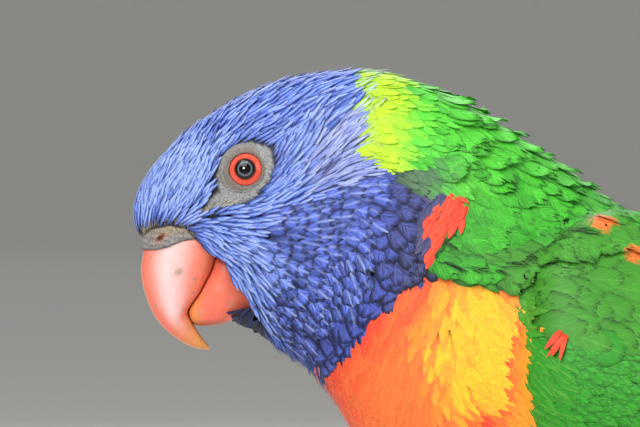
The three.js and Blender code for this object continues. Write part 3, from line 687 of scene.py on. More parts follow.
upper_rings, upper_u, upper_angle = bill_rings(UPPER_BILL, UPPER_TAPER, 220, 120, narrow_until=1.3)
share = (1 - np.cos(upper_angle)) / 2
growth = 0.004 * np.sin(upper_u * 19 + 9 * share + 0.8 * np.sin(3.1 * upper_u))
upper_rings[..., 0] += growth * np.sign(upper_rings[..., 0]) * np.clip(upper_u - 1.5, 0, 1)
HORN_RED = (242, 112, 84)
# Pale pink of the painted highlight down the middle of the upper bill
PAINTED_HIGHLIGHT = (246, 202, 202)
BILL_TIP = (226, 158, 88)
CUTTING_EDGE = (254, 142, 112)
# Behind, above and radius of the grey scuffs on the left side
BILL_SPOTS = (
    (-12.5, -19.0, 0.8), (-17.9, -16.3, 0.22), (-9.6, -20.4, 0.3), (-9.9, -23.0, 0.28), (-16.9, -25.4, 0.3),
    (-17.3, -18.8, 0.18),
)
# Painted highlight: a pale band down the middle of the upper bill's side, fading out before the tip
painted_highlight_share = np.exp(-(((share - 0.42 - 0.02 * (upper_u - 4)) / 0.21) ** 2))
painted_highlight_share = painted_highlight_share * np.clip((8.4 - upper_u) / 2.2, 0, 1)
upper_tone = towards(linear(HORN_RED), PAINTED_HIGHLIGHT, painted_highlight_share)
upper_tone = towards(upper_tone, CUTTING_EDGE, 0.7 * np.clip((share - 0.62) / 0.2, 0, 1))
upper_tone = towards(upper_tone, BILL_TIP, np.clip((upper_u - 6.9) / 2.4, 0, 1) ** 0.8)
at_rim = np.clip((share - 0.965) / 0.03, 0, 1) * np.clip((upper_u - 3) / 2, 0, 1)
upper_tone = towards(upper_tone, (226, 170, 120), 0.7 * at_rim)
# Painted highlight: a paler thin line along the ridge of the upper bill
upper_tone = towards(upper_tone, (250, 190, 160), 0.6 * np.clip((0.035 - share) / 0.03, 0, 1))
for spot_y, spot_z, wide in BILL_SPOTS:
    beside_y, beside_z = upper_rings[..., 1] - spot_y, upper_rings[..., 2] - spot_z
    uneven = 1 + 0.14 * np.sin(2 * np.arctan2(beside_y, beside_z) + spot_y)
    spot = np.exp(-((np.hypot(beside_y, beside_z) / (wide * uneven)) ** 4)) * (upper_rings[..., 0] > 1)
    upper_tone = towards(upper_tone, (160, 142, 128), 0.85 * spot)
tone = np.concatenate([upper_tone[:1], upper_tone, upper_tone[-1:]], axis=0)
upper_bill = mesh_piece("upper_bill_horn", *closed_loft(upper_rings), {"tone": tone})
merge_and_point_out(upper_bill)


def horn_material(name, roughness, streak_scale):
    """Satin horn that reads its tone from the points, with fine growth streaks and small scuffs."""
    material, shader = plain_material(name, (230, 100, 60), roughness)
    tree = material.node_tree
    calc = partial(math_node, tree)
    place = object_place(tree)
    stretch = tree.nodes.new("ShaderNodeMapping")
    stretch.inputs["Rotation"].default_value = (math.radians(35), 0, 0)
    stretch.inputs["Scale"].default_value = (0.3, 0.7, 0.1)
    wire(tree, place, stretch.inputs["Vector"])
    streaks = noise_node(tree, stretch.outputs["Vector"], streak_scale, 4.0)
    cloud = noise_node(tree, place, 600.0, 3.0)
    scuffs = noise_node(tree, place, 2300.0, 2.0)
    light = calc("MULTIPLY_ADD", streaks, 0.16, 0.93)
    light = calc("MULTIPLY", light, calc("MULTIPLY_ADD", cloud, 0.34, 0.84))
    wire(tree, scaled_colour(tree, attribute_colour(tree, "tone"), light), shader.inputs["Base Color"])
    wire(tree, calc("MULTIPLY_ADD", scuffs, 0.18, roughness - 0.06), shader.inputs["Roughness"])
    shader.inputs["Subsurface Weight"].default_value = 0.12
    shader.inputs["Subsurface Radius"].default_value = (0.0012, 0.0005, 0.0003)
    bump_node(tree, shader, calc("MULTIPLY_ADD", scuffs, 0.4, streaks), 0.35, 0.00012)
    return material


bill_material = horn_material("bill_horn", 0.36, 2600.0)
upper_bill.data.materials.append(bill_material)
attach(upper_bill, "root")
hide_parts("upper_bill")


# Lower bill: the short scoop that the upper bill closes over, of the same horn but deeper in colour,
# yellower at its front. It is cut clear of the upper bill by a fine gap, with painted shade along it.
LOWER_BILL = np.array([
    [6.0, -16.0, 8.0, -24.5, 5.8],
    [-0.8, -14.8, 3.6, -25.8, 6.4],
    [-5.6, -15.4, 1.2, -26.6, 6.5],
    [-6.7, -18.2, -1.4, -27.7, 6.3],
    [-7.9, -20.4, -4.6, -28.9, 5.8],
    [-9.2, -22.6, -7.2, -29.3, 4.8],
    [-10.5, -24.6, -9.4, -29.1, 3.6],
    [-11.3, -26.6, -11.0, -28.1, 1.4],
])
LOWER_TAPER = -0.1
MOUTH_LINE = 0.14
LOWER_RED = (240, 116, 92)
# Behind, above and reach of the greyer places
LOWER_SPOTS = ((-2.8, -25.0, 0.8), (-8.4, -26.6, 0.7), (-5.0, -22.2, 0.6), (-2.2, -20.2, 0.5))
lower_rings, _, _ = bill_rings(LOWER_BILL, LOWER_TAPER, 130, 90)
lower_rings[..., 0] *= np.interp(lower_rings[..., 1], [-4, 4], [1.0, 0.8])
lower_bill = mesh_piece("lower_bill_horn", *closed_loft(lower_rings))
merge_and_point_out(lower_bill)
mouth_rings, _, _ = bill_rings(UPPER_BILL, UPPER_TAPER, 110, 80, grow=MOUTH_LINE)
combine(lower_bill, mesh_piece("mouth", *closed_loft(mouth_rings)), "DIFFERENCE")
lower_at = points_of(lower_bill)
lower_y, lower_z = lower_at[:, 1], lower_at[:, 2]
lower_tone = towards(linear(LOWER_RED), (236, 150, 80), (-7.4 - lower_y) / 2.8)
# Painted shade: the lower bill darker towards its underside
lower_tone = lower_tone * (1 - 0.45 * np.clip(-27.9 - lower_z, 0, 1))[:, None]
for spot_y, spot_z, wide in LOWER_SPOTS:
    grey = np.exp(-(np.hypot(lower_y - spot_y, lower_z - spot_z) / wide) ** 2)
    lower_tone = towards(lower_tone, (196, 140, 122), 0.5 * grey)
upper_faces = [tuple(face.vertices) for face in upper_bill.data.polygons]
upper_bed = BVHTree.FromPolygons(points_of(upper_bill).tolist(), upper_faces)
from_upper = np.array([upper_bed.find_nearest(place)[3] for place in lower_at.tolist()])
# Painted shade: dark brown on the lower bill along the gap under the upper bill
in_mouth_shade = np.clip(1.5 - (from_upper - MOUTH_LINE) / 0.16, 0, 1)
lower_tone = towards(lower_tone, (74, 34, 24), 0.9 * in_mouth_shade)
set_colours(lower_bill, "tone", lower_tone)
lower_bill.data.materials.clear()
lower_bill.data.materials.append(bill_material)
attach(lower_bill, "root")
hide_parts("lower_bill")


# Cere: the bare grey skin over the root of the upper bill, wrinkled and grainy, with a small nostril
# in a low rim on each side.
CERE_EDGE = [
    (-26.0, -15.2), (-19.4, -15.0), (-17.1, -15.0), (-14.7, -14.5), (-12.1, -13.4), (-8.6, -12.6),
    (-4.0, -12.0),
]
CERE_BAND = CERE_EDGE + [(-4.0, -3.0), (-26.0, -3.0)]
CERE_THICK = 0.34
CERE_GREY = (150, 146, 146)
# Place of the nostril behind and above, the way of its slit, half its length and half its height
NOSTRIL = (-16.0, -12.7)
SLIT_WAY = (0.8, 0.6)
SLIT_SIZE = (0.85, 0.42)
cere_rings, _, _ = bill_rings(UPPER_BILL, UPPER_TAPER, 160, 100, grow=CERE_THICK, narrow_until=0.5)
cere = mesh_piece("cere_skin", *closed_loft(cere_rings))
merge_and_point_out(cere)
combine(cere, side_plate("cere_band", CERE_BAND), "INTERSECT")
apply_modifier(cere, "REMESH", mode="VOXEL", voxel_size=0.00017)
apply_modifier(cere, "SMOOTH", factor=0.6, iterations=3)
cere_at = points_of(cere)
cere_y, cere_z = cere_at[:, 1], cere_at[:, 2]
beside_y, beside_z = cere_y - NOSTRIL[0], cere_z - NOSTRIL[1]
slit_along = (beside_y * SLIT_WAY[0] + beside_z * SLIT_WAY[1]) / SLIT_SIZE[0]
slit_across = (-beside_y * SLIT_WAY[1] + beside_z * SLIT_WAY[0]) / SLIT_SIZE[1]
from_slit = np.hypot(slit_along, slit_across)
outer = np.clip((np.abs(cere_at[:, 0]) - 4) / 1.5, 0, 1)
swell = 0.34 * np.exp(-((np.hypot(beside_y * 0.8, beside_z) / 1.9) ** 2)) - 0.75 * np.exp(-(from_slit**2))
wrinkle = 0.07 * np.sin(5.2 * (cere_z + 0.25 * cere_y) + 1.5 * np.sin(1.3 * cere_y))
puffed = cere_at.copy()
puffed[:, 0] += np.sign(cere_at[:, 0]) * outer * (swell + wrinkle * np.clip(from_slit / 2 - 0.4, 0, 1))
cere.data.vertices.foreach_set("co", metres(puffed).ravel())
cere_tone = towards(linear(CERE_GREY), (168, 152, 124), (cere_z + 12.6) / 1.8)
cere_tone = towards(cere_tone, (188, 140, 108), 0.6 * np.exp(-(((from_slit - 1.5) / 0.6) ** 2)) * outer)
cere_tone = towards(cere_tone, (120, 58, 28), np.exp(-(from_slit / 1.15) ** 4) * outer)
# Painted light and shade: darker in the wrinkles' hollows, lighter on their crests, and darker along the
# lower edge where the cere lies on the bill
near_edge = np.exp(-(((cere_z - np.interp(cere_y, *np.array(CERE_EDGE).T)) / 0.35) ** 2))
cere_tone = cere_tone * (1 + 2.0 * wrinkle[:, None]) * (1 - 0.5 * near_edge[:, None])
set_colours(cere, "tone", cere_tone)
set_finish(cere, skin_material("cere_grain", 2100.0, 0.58, 0.9))
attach(cere, "root")
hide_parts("cere")


# Coat of the head, neck and trunk: thin solid vanes rooted in the skin, each lying over the next from
# the bill backwards, with a shaft down its middle and barbs that slant out from it. They are narrow
# lances on face, crown, collar and breast, scales behind the cheek, and longest over the shoulder.
rng = np.random.default_rng(7)


def unit(vectors):
    """Vectors of length one."""
    return vectors / np.maximum(np.linalg.norm(vectors, axis=-1, keepdims=True), 1e-9)


# Folded wing, from the bend to the tip: outward, behind and above, along its lower edge, its middle and
# its upper edge
WING_LENGTH = 154.0
WING_LOW = np.array([
    [21.5, 57, -54], [23.5, 84, -62], [19.5, 112, -65], [14.0, 140, -63.5], [12.4, 168, -61.5],
    [9.0, 197, -62.8],
])
WING_MIDDLE = np.array([
    [26.5, 54, -32], [27.8, 80, -38.5], [23.5, 110, -46.5], [16.0, 140, -52], [10.8, 168, -54.2],
    [6.5, 198, -61.2],
])
WING_HIGH = np.array([
    [14.5, 60, -6], [10.0, 86, -14.5], [7.0, 112, -26.5], [4.8, 140, -39], [3.4, 168, -49.8],
    [3.0, 199, -60.0],
])
ARM_THICK = 4.0
ARM_TIP_THICK = 0.9
ARM_END = 122.0


def wing_at(distance, share):
    """Places on the folded wing's middle surface, by distance from the bend and share across."""
    t = np.clip(distance / WING_LENGTH, 0, 1) * (len(WING_LOW) - 1)
    low, middle, high = (along_table(line, t) for line in (WING_LOW, WING_MIDDLE, WING_HIGH))
    s = np.clip(share, 0, 1)[..., None]
    return low * (1 - s) * (1 - 2 * s) + middle * 4 * s * (1 - s) + high * s * (2 * s - 1)


def on_wing(distance, share, height):
    """Places over the folded wing, which may lie beyond its edges."""
    step = 0.02
    d = np.clip(distance, step * WING_LENGTH, (1 - step) * WING_LENGTH)
    s = np.clip(share, step, 1 - step)
    along = wing_at(d + step * WING_LENGTH, s) - wing_at(d - step * WING_LENGTH, s)
    across = wing_at(d, s + step) - wing_at(d, s - step)
    out = unit(np.cross(across, along))
    out *= np.where(out[..., :1] < 0, -1.0, 1.0)
    beyond = (share - np.clip(share, 0, 1))[..., None]
    return wing_at(distance, share) + across * beyond / (2 * step) + out * np.asarray(height)[..., None]


def wing_bulge(distance, share):
    """Half the thickness of the arm under the feathers."""
    thick = ARM_THICK + (ARM_TIP_THICK - ARM_THICK) * np.clip(distance / ARM_END, 0, 1) ** 0.8
    return thick * np.sqrt(np.clip(1 - (2 * share - 1) ** 2, 0, 1))


ARM_ROWS = 60
ARM_COLUMNS = 48
ARM_INSET = 0.94


def arm_rings():
    """Rings of the left arm under the wing's feathers."""
    t = np.linspace(0, 1, ARM_ROWS)[:, None] ** 1.35
    angle = np.linspace(0, 2 * np.pi, ARM_COLUMNS, endpoint=False)[None]
    from_middle = np.abs(2 * t - 1)
    reach = np.where(t < 0.5, 1 - 0.62 * from_middle**9, 1 - 0.5 * from_middle**6)
    rise = np.where(t < 0.5, 1 - 0.8 * from_middle**9, 1.0)
    share = 0.5 - 0.5 * reach * np.cos(angle)
    distance = t * ARM_END + 0 * share
    height = wing_bulge(distance, share) * rise * np.sign(np.sin(angle)) * (np.abs(np.sin(angle)) > 0.01)
    return on_wing(distance, share, height * ARM_INSET)


whole_points, whole_faces = closed_loft(skin_points)
body_bed = BVHTree.FromPolygons(whole_points.tolist(), whole_faces.tolist())
arm_points, arm_faces = closed_loft(arm_rings())


def mesh_arrays(piece):
    """A piece's points in millimetres from the eye and its faces cut into triangles."""
    piece.data.calc_loop_triangles()
    corners = np.empty(3 * len(piece.data.loop_triangles), dtype=np.int32)
    piece.data.loop_triangles.foreach_get("vertices", corners)
    return points_of(piece), corners.reshape(-1, 3)


# One smooth surface over trunk and wing bends carries the feathers, so that they run on from one to
# the other. It is only laid on, and taken away again.
FOLD_FILL = 0.004
BEDDING_GRAIN = 0.0008
bedding = mesh_piece("bedding", whole_points, whole_faces)
merge_and_point_out(bedding)
for sign in (1, -1):
    combine(bedding, mesh_piece("arm_bed", arm_points * [sign, 1, 1], arm_faces), "UNION")
apply_modifier(bedding, "REMESH", mode="VOXEL", voxel_size=BEDDING_GRAIN)
apply_modifier(bedding, "DISPLACE", strength=FOLD_FILL, mid_level=0.0)
apply_modifier(bedding, "REMESH", mode="VOXEL", voxel_size=BEDDING_GRAIN)
apply_modifier(bedding, "SMOOTH", factor=0.5, iterations=3)
apply_modifier(bedding, "DISPLACE", strength=-FOLD_FILL, mid_level=0.0)
apply_modifier(bedding, "SMOOTH", factor=0.5, iterations=4)
bed_points, bed_triangles = mesh_arrays(bedding)
bpy.data.objects.remove(bedding)
bed = BVHTree.FromPolygons(bed_points.tolist(), bed_triangles.tolist())


def body_place(at):
    """Section number and angle round the body nearest to each place, and the distance to it."""
    found = [body_bed.find_nearest(place) for place in at.tolist()]
    face = np.array([f[2] for f in found])
    row = np.clip(face // SKIN_COLUMNS - 1, 0, SKIN_ROWS - 1)
    distance = np.array([f[3] for f in found])
    return row * LAST_SECTION / (SKIN_ROWS - 1), (face % SKIN_COLUMNS) * 2 * np.pi / SKIN_COLUMNS, distance


# Edges of the parts of the coat in side view. The first two give the rearmost place at each height, the
# next three the height at each place behind the eye, and the patches are closed outlines.
HOOD_EDGE = np.array([
    (-60, 12), (-45, 12.5), (-34.9, 14.5), (-33.1, 19.4), (-28.6, 21.9), (-26.9, 24.4), (-23.8, 26.2),
    (-21.8, 29.9), (-19.5, 32.7), (-17.3, 33.6), (-13.8, 34.2), (-9.5, 33.4), (-4.9, 31.6), (0.8, 24.9),
    (3.1, 21.8), (8.2, 22.1), (18.8, 20.3), (30, 20.3),
])
COLLAR_EDGE = np.array([
    (-30, 26), (-6, 26), (-1.2, 28), (-0.1, 30.6), (4, 33.2), (7.7, 35.1), (10.3, 33.6), (12.9, 30.6),
    (16.8, 31), (30, 31),
])
MANTLE_EDGE = np.array([
    (-40, -16), (30, -17), (36, -17.5), (44.4, -18.8), (50.1, -16.9), (56.8, -15.5), (64.4, -12.7),
    (80, -17), (100, -25), (200, -60),
])
SCAPULAR_EDGE = np.array([
    (36, -18.5), (45.5, -20.2), (51.4, -23), (54, -30), (58, -32), (73, -33), (90, -33), (104, -30),
    (200, -70),
])
BREAST_EDGE = np.array([
    (12, -20), (33, -19), (36, -18.2), (45.5, -19.9), (47.9, -21.4), (51.4, -22.2), (51.7, -27.8),
    (53.1, -28.8), (55.4, -31), (56.8, -34.9), (57.2, -60), (64, -80),
])
SCALES = np.array([
    (23, -0.5), (32, -3), (36, -14), (34, -21), (26, -27), (20, -34.5), (14, -37), (8, -34), (12, -29),
    (20.5, -22), (23, -12),
])
CHEEK_PATCH = np.array([
    (2.5, -9.5), (8, -7.5), (16, -5), (23, -0.5), (23, -12), (20.5, -22), (12, -29), (8, -34), (3.5, -28),
    (2.5, -21), (1, -14),
])
STREAKED = np.array([
    (8.5, -6), (10, 0), (12.5, 4.5), (15.5, 8.2), (20, 8.6), (23, 5), (24.5, 0), (23, -1), (16, -5),
])
RED_PATCH = np.array([
    (33, -9), (35, -5), (38, -2.8), (40.5, -4), (41, -8), (38, -10), (36, -14), (33.5, -15), (33.5, -12),
])
RED_LOBE = np.array([
    (33.2, -10.5), (34.5, -8.6), (36.8, -6.6), (38.7, -5.5), (40.2, -6.6), (40.9, -9.2), (40.2, -11.7),
    (38.7, -12.9), (36, -13.4), (35.7, -15.7), (35.2, -18.2), (33.8, -22), (31.6, -22), (32.7, -18.2),
    (33.7, -15.7), (34.3, -13.8), (33.5, -12.1),
])
DUSKY_PATCH = np.array([
    (22, 3), (26, 1), (28, -0.5), (34, 0), (39, 1.2), (42, -2), (41, -6), (36, -8), (34.5, -10.5),
    (33.4, -12.5), (29, -12), (24, -10),
])
HOOD, SCALE, COLLAR, DUSKY, RED, BREAST, MANTLE, SCAPULAR = range(8)
COVERT, BELLY, FLANK, VENT, RUMP, CHEEK, STREAK = range(8, 15)
FACE = (HOOD, SCALE, CHEEK, STREAK)
LANCES = (HOOD, STREAK, COLLAR, DUSKY, RED, BREAST, COVERT)
# Height over the trunk above which a place is on the arm, and the sections where the hind parts begin
OVER_ARM = 1.6
BELLY_FROM = 10.9
RUMP_FROM = 13.0
VENT_FROM = 13.4


def parts_at(at, u, angle, off_body):
    """Which part of the coat each place on the bird belongs to."""
    y, z = at[:, 1], at[:, 2]
    low = np.pi - np.abs((angle % (2 * np.pi)) - np.pi)
    on_trunk = off_body < OVER_ARM
    behind = u > BELLY_FROM
    part = np.full(len(at), MANTLE)
    part[z < np.interp(y, *MANTLE_EDGE.T)] = SCAPULAR
    part[(z < np.interp(y, *SCAPULAR_EDGE.T)) & (y > 54)] = COVERT
    part[behind & on_trunk & (low > 0.5 * np.pi) & (z < -52)] = FLANK
    part[behind & on_trunk & (low > 0.66 * np.pi)] = BELLY
    part[(u > VENT_FROM) & on_trunk & (low > 0.52 * np.pi)] = VENT
    part[(u > RUMP_FROM) & on_trunk & (low <= 0.52 * np.pi)] = RUMP
    beside = (y < 55.8 + 0.5 * np.sin(7 * z)) & (~behind | (z > -50))
    part[~behind & (low > 0.8 * np.pi) | (z < np.interp(y, *BREAST_EDGE.T)) & beside] = BREAST
    part[inside(DUSKY_PATCH, y, z)] = DUSKY
    part[inside(RED_PATCH, y, z)] = RED
    part[(y < np.interp(z, *COLLAR_EDGE.T)) & (z > -2)] = COLLAR
    part[y < np.interp(z, *HOOD_EDGE.T)] = HOOD
    for patch, name in ((SCALES, SCALE), (CHEEK_PATCH, CHEEK), (STREAKED, STREAK)):
        part[(part == HOOD) & inside(patch, y, z)] = name
    return part


# Distance between roots, length, half width of the feathers of each part, and how far they rise over
# their length above the feathers they lie on. The hood's lengths and widths follow from its distances.
SPACING = np.array([1.0, 1.75, 0.8, 0.8, 0.75, 0.86, 1.8, 2.6, 0.95, 2.0, 1.9, 2.2, 2.4, 1.35, 0.55])
LENGTH = np.array([0, 6.0, 6.0, 5.5, 4.6, 7.5, 9.0, 14.0, 5.0, 9.0, 9.0, 10.0, 11.0, 5.0, 6.0])
HALF_WIDTH = np.array([0, 2.2, 0.9, 0.8, 0.75, 1.0, 2.1, 3.4, 0.95, 2.0, 1.9, 2.1, 2.3, 1.7, 0.27])
RISE = np.array([0.3, 0.3, 0.12, 0.12, 0.12, 0.1, 0.16, 0.22, 0.14, 0.2, 0.2, 0.2, 0.2, 0.22, 0.35])
SEAM_REACH = 1.8
SEAM_CLOSER = 0.62
SEAMS_UNTIL = 90
# Distances between the hood's roots, by the distance from the bill and from the eye
FROM_BILL = ([0, 8, 16, 26, 40, 50], [0.48, 0.55, 0.68, 0.85, 1.05, 1.2])
FROM_EYE = ([4, 8, 14], [0.5, 0.65, 3.0])


def near_seam(at, u, angle, off_body, part):
    """Whether the coat changes close by, so that the feathers part and must lie closer."""
    seam = np.zeros(len(at), dtype=bool)
    for step in ((SEAM_REACH, 0), (-SEAM_REACH, 0), (0, SEAM_REACH), (0, -SEAM_REACH)):
        seam |= parts_at(at + [0, *step], u, angle, off_body) != part
    return seam & ~np.isin(part, FACE) & (at[:, 1] < SEAMS_UNTIL)


def spacing_at(at, u, angle, off_body, part):
    """Distance between the roots of neighbouring feathers."""
    y, z = at[:, 1], at[:, 2]
    hood = np.interp(np.hypot(y + 16, z + 13), *FROM_BILL)
    hood = np.minimum(hood, np.interp(np.hypot(y, z), *FROM_EYE))
    apart = np.where(part == HOOD, hood, SPACING[part])
    closer = near_seam(at, u, angle, off_body, part) & ~np.isin(part, LANCES)
    return np.where(closer, SEAM_CLOSER * apart, apart)


def scattered(points, triangles, candidates):
    """Places spread over a surface as far apart as the feathers of each part are."""
    a, b, c = (points[triangles[:, k]] for k in range(3))
    area = np.linalg.norm(np.cross(b - a, c - a), axis=-1) / 2
    centre = (a + b + c) / 3
    placed = body_place(centre)
    chance = area / spacing_at(centre, *placed, parts_at(centre, *placed)) ** 2
    picked = rng.choice(len(chance), candidates, p=chance / chance.sum())
    first, second = rng.random((2, candidates, 1))
    root = np.sqrt(first)
    at = a[picked] * (1 - root) + b[picked] * root * (1 - second) + c[picked] * root * second
    u, angle, off_body = body_place(at)
    part = parts_at(at, u, angle, off_body)
    apart = spacing_at(at, u, angle, off_body, part)
    tree = KDTree(candidates)
    for i, place in enumerate(at.tolist()):
        tree.insert(place, i)
    tree.balance()
    gone = np.zeros(candidates, dtype=bool)
    kept = []
    for i, place in enumerate(at.tolist()):
        if gone[i]:
            continue
        kept.append(i)
        for _, other, distance in tree.find_range(place, apart[i]):
            if distance < apart[other]:
                gone[other] = True
    return at[kept], u[kept], angle[kept], off_body[kept], part[kept], apart[kept]


# Lie of the feathers on the head: behind and above the eye, and the way in degrees, 0 backwards, 90 up
HEAD_WAYS = np.array([
    (-20, -8, 82), (-16, 0, 60), (-12, 3, 58), (-7, 7, 50), (-3, 11, 45), (3, 14, 33), (8, 14, 30),
    (14, 15, 25), (-12, -6, 62), (-8, -2, 62), (-7, -7, 40), (-3, 5, 38), (2, 7, 24), (6, 5.8, 34),
    (6.6, 2.6, 62), (9, 4.3, 60), (11, 3, 55), (14, 3, 45), (18, 4, 35), (15, -1, 34), (4, -4.5, 42),
    (7, -3.3, 45), (11, -1.4, 38), (1, -7, 22), (5, -6, 25), (14, -5, 15), (-3, -8.4, 8), (2.5, -9.6, 8),
    (11, -8.2, 10), (-7.4, -12, -38), (-3.4, -10, -8), (-0.5, -13, -25), (5, -9.5, 12), (11, -11.5, 2),
    (8, -14.3, -15), (5, -16, -25), (11, -18.6, -25), (2.3, -18.6, -45), (-1.7, -18.6, -65),
    (1, -23, -75), (8, -23, -42), (11, -25.7, -40), (14, -28.5, -45), (10, -33, -62), (12, -36, -68),
    (18, 16.5, 24), (18, 8, 42), (17, 4.5, 42), (20, 2, 25), (23.4, 0.5, 15), (18, -0.5, 5), (21, -3, -8),
    (25, -4, -4), (28.5, -5, -20), (22, -8.5, -42), (26, -9, -48), (20, -17, -60), (26, -13, -55),
    (17, -23, -68), (24, -22, -60),
])


BREAST_UNTIL = 10.2
# Slope back of the breast feathers as they hang, by the distance behind the eye
HANG = ([14, 30, 42, 50, 57], [0.0, -0.45, -0.5, -0.42, -0.15])


def side_ways(back, up):
    """Ways in side view, of length one."""
    back, up = np.broadcast_arrays(back, up)
    return unit(np.column_stack([np.zeros(len(back)), back, up]))


def comb(at, u, angle, part):
    """Which way the feathers lie, before they are pressed to the skin."""
    behind = body_point(np.clip(u + 0.05, 0, LAST_SECTION), angle)
    ways = unit(behind - body_point(np.clip(u - 0.05, 0, LAST_SECTION), angle))
    y, z = at[:, 1], at[:, 2]
    apart = (y[:, None] - HEAD_WAYS[:, 0]) ** 2 + (z[:, None] - HEAD_WAYS[:, 1]) ** 2
    weight = 1 / (apart**1.6 + 0.4)
    turn = np.radians(HEAD_WAYS[:, 2])
    head = side_ways((weight * np.cos(turn)).sum(axis=1), (weight * np.sin(turn)).sum(axis=1))
    ways = np.where(np.isin(part, FACE)[:, None], head, ways)
    nape = np.isin(part, (COLLAR, DUSKY))
    ways[nape] = unit(ways[nape] + [0, 0.0, -0.15])
    front = np.isin(part, (BREAST, RED)) & (u < BREAST_UNTIL)
    hang = side_ways(np.interp(y, *HANG), -1.0)
    share = (np.clip((BREAST_UNTIL - u) / 1.2, 0, 1) * front)[:, None]
    ways = ways * (1 - share) + hang * share
    lie = side_ways(1.0, np.where(part == COVERT, -0.55, -0.22))
    ways = np.where(np.isin(part, (SCAPULAR, COVERT))[:, None], lie, ways)
    return unit(ways)


CANDIDATES = 210000
BARE_SHRUNK = 0.97
roots = scattered(bed_points, bed_triangles, CANDIDATES)
root_at, root_u, root_angle, root_off, root_part, _ = roots
root_y, root_z = root_at[:, 1], root_at[:, 2]
beside_head = np.abs(root_at[:, 0]) > HEAD_SIDE
use = ~inside(face_plate, root_y, root_z) & ~(inside(BARE_PATCH, root_y, root_z) & beside_head)
use &= (root_y <= 96) | (root_off <= 0.9)
use &= ((root_y <= 104) | (root_part != COVERT)) & ((root_y <= 108) | (root_part != SCAPULAR))
first_ways = comb(root_at, root_u, root_angle, root_part)
for reach in (0.8, 1.6, 2.4, 3.2, 4.0):
    passing = root_at + first_ways * reach
    over_bare = inside(BARE_PATCH * BARE_SHRUNK, passing[:, 1], passing[:, 2]) & beside_head
    use &= ~(over_bare & (root_part == HOOD))
root_at, root_u, root_angle, root_off, root_part, root_apart = (values[use] for values in roots)

# Where the coat changes, more feathers are rooted under the edge of the part in front
TUCKED = 3.2
TUCK_DEPTH = 0.3
root_ways = comb(root_at, root_u, root_angle, root_part)
seam = near_seam(root_at, root_u, root_angle, root_off, root_part)
tucked_at = root_at[seam] - root_ways[seam] * TUCKED
clear = ~inside(face_plate, tucked_at[:, 1], tucked_at[:, 2])
more = np.flatnonzero(seam)[clear]
root_lower = np.concatenate([np.zeros(len(root_at)), np.full(len(more), TUCK_DEPTH)])
root_at = np.concatenate([root_at, tucked_at[clear]])
root_ways, root_u, root_angle, root_part, root_apart = (
    np.concatenate([values, values[more]])
    for values in (root_ways, root_u, root_angle, root_part, root_apart)
)


# Places of a vane's rows along it, from root to tip, and its width there for each outline
FINE_SHARES = np.array([0, 0.2, 0.45, 0.7, 0.88, 1])
BROAD_SHARES = np.array([0, 0.16, 0.36, 0.56, 0.74, 0.88, 1])
LANCE = np.array([0.4, 0.75, 1.0, 0.9, 0.55, 0.06])
ROUND = np.array([0.35, 0.62, 0.88, 1.0, 0.98, 0.78, 0.34])
BLUNT = np.array([0.3, 0.5, 0.74, 0.92, 1.0, 0.96, 0.6])
VANE_HALF_THICK = 0.025
ROOT_HEIGHT = 0.05


def nearest(places, on):
    """The nearest places on a surface and the way out of it there."""
    found = [on.find_nearest(place) for place in places.tolist()]
    return np.array([f[0] for f in found]), np.array([f[1] for f in found])


def vane_ring(columns, half_thick):
    """Places across a vane and over its middle plane, round a ring with so many places on its upper side."""
    across = np.linspace(-1, 1, columns)
    over = np.concatenate([np.full(columns, half_thick), np.full(columns - 2, -half_thick)])
    over[[0, columns - 1]] = 0
    return np.concatenate([across, across[-2:0:-1]]), over


def lay_feathers(
    at, ways, lengths, half_widths, reach, lift, shares, outline, camber, columns, on, sway, ragged, rise
):
    """Closed vanes laid on a surface from their roots on: rings of points and the places on the vane."""
    count, rows = len(at), len(shares)
    spot, out = nearest(at, on)
    out_now = out
    ways = unit(ways - out * (ways * out).sum(axis=-1, keepdims=True))
    spine, outs, along = (np.empty((count, rows, 3)) for _ in range(3))
    for r, t in enumerate(shares):
        if r:
            step = t - shares[r - 1]
            ways = unit(ways + np.cross(ways, out_now) * (sway * step)[:, None])
            spot, out = nearest(spot + ways * (lengths * step)[:, None], on)
            out_now = unit(out_now * 0.5 + out)
            ways = unit(ways - out_now * (ways * out_now).sum(axis=-1, keepdims=True))
        height = ROOT_HEIGHT + (reach - rise - ROOT_HEIGHT) * (1 - (1 - t) ** 7) + rise * t + lift * t**3
        spine[:, r] = spot + out_now * height[:, None]
        outs[:, r] = out_now
        along[:, r] = ways
    side = unit(np.cross(along, outs))
    over = unit(np.cross(side, along))
    ring_across, ring_over = vane_ring(columns, VANE_HALF_THICK)
    x = (half_widths[:, None] * outline[None])[..., None] * ring_across
    drop = -(camber * half_widths)[:, None, None] * (ring_across**2) * outline[None, :, None]
    fray = (rng.random((count, 1, columns)) - 0.6) * ragged * lengths[:, None, None]
    fray = fray * shares[None, :, None] ** 6
    fray = np.concatenate([fray, fray[..., -2:0:-1]], axis=-1)
    rings = (
        spine[:, :, None]
        + side[:, :, None] * x[..., None]
        + over[:, :, None] * (drop + ring_over)[..., None]
        + along[:, :, None] * fray[..., None]
    )
    run = (lengths[:, None] * shares)[..., None] + fray
    return rings, x, run, np.abs(ring_across) + 0 * x, shares[None, :, None] + 0 * x


def vane_faces(count, rows, ring):
    """Faces of closed vanes whose points lie in rows of rings."""
    a = np.arange(rows - 1)[:, None] * ring + np.arange(ring)
    b = np.arange(rows - 1)[:, None] * ring + (np.arange(ring) + 1) % ring
    sides = np.stack([a, b, b + ring, a + ring], axis=-1).reshape(-1, 4)
    half = np.arange(ring // 2 - 1)
    tip = np.column_stack([half, half + 1, ring - 2 - half, ring - 1 - half])
    one = np.concatenate([sides, tip[:, ::-1], tip + (rows - 1) * ring])
    return (one[None] + (np.arange(count) * rows * ring)[:, None, None]).reshape(-1, 4)


# Size of the patch that each vane takes in the map for the bake
PATCH = 0.003


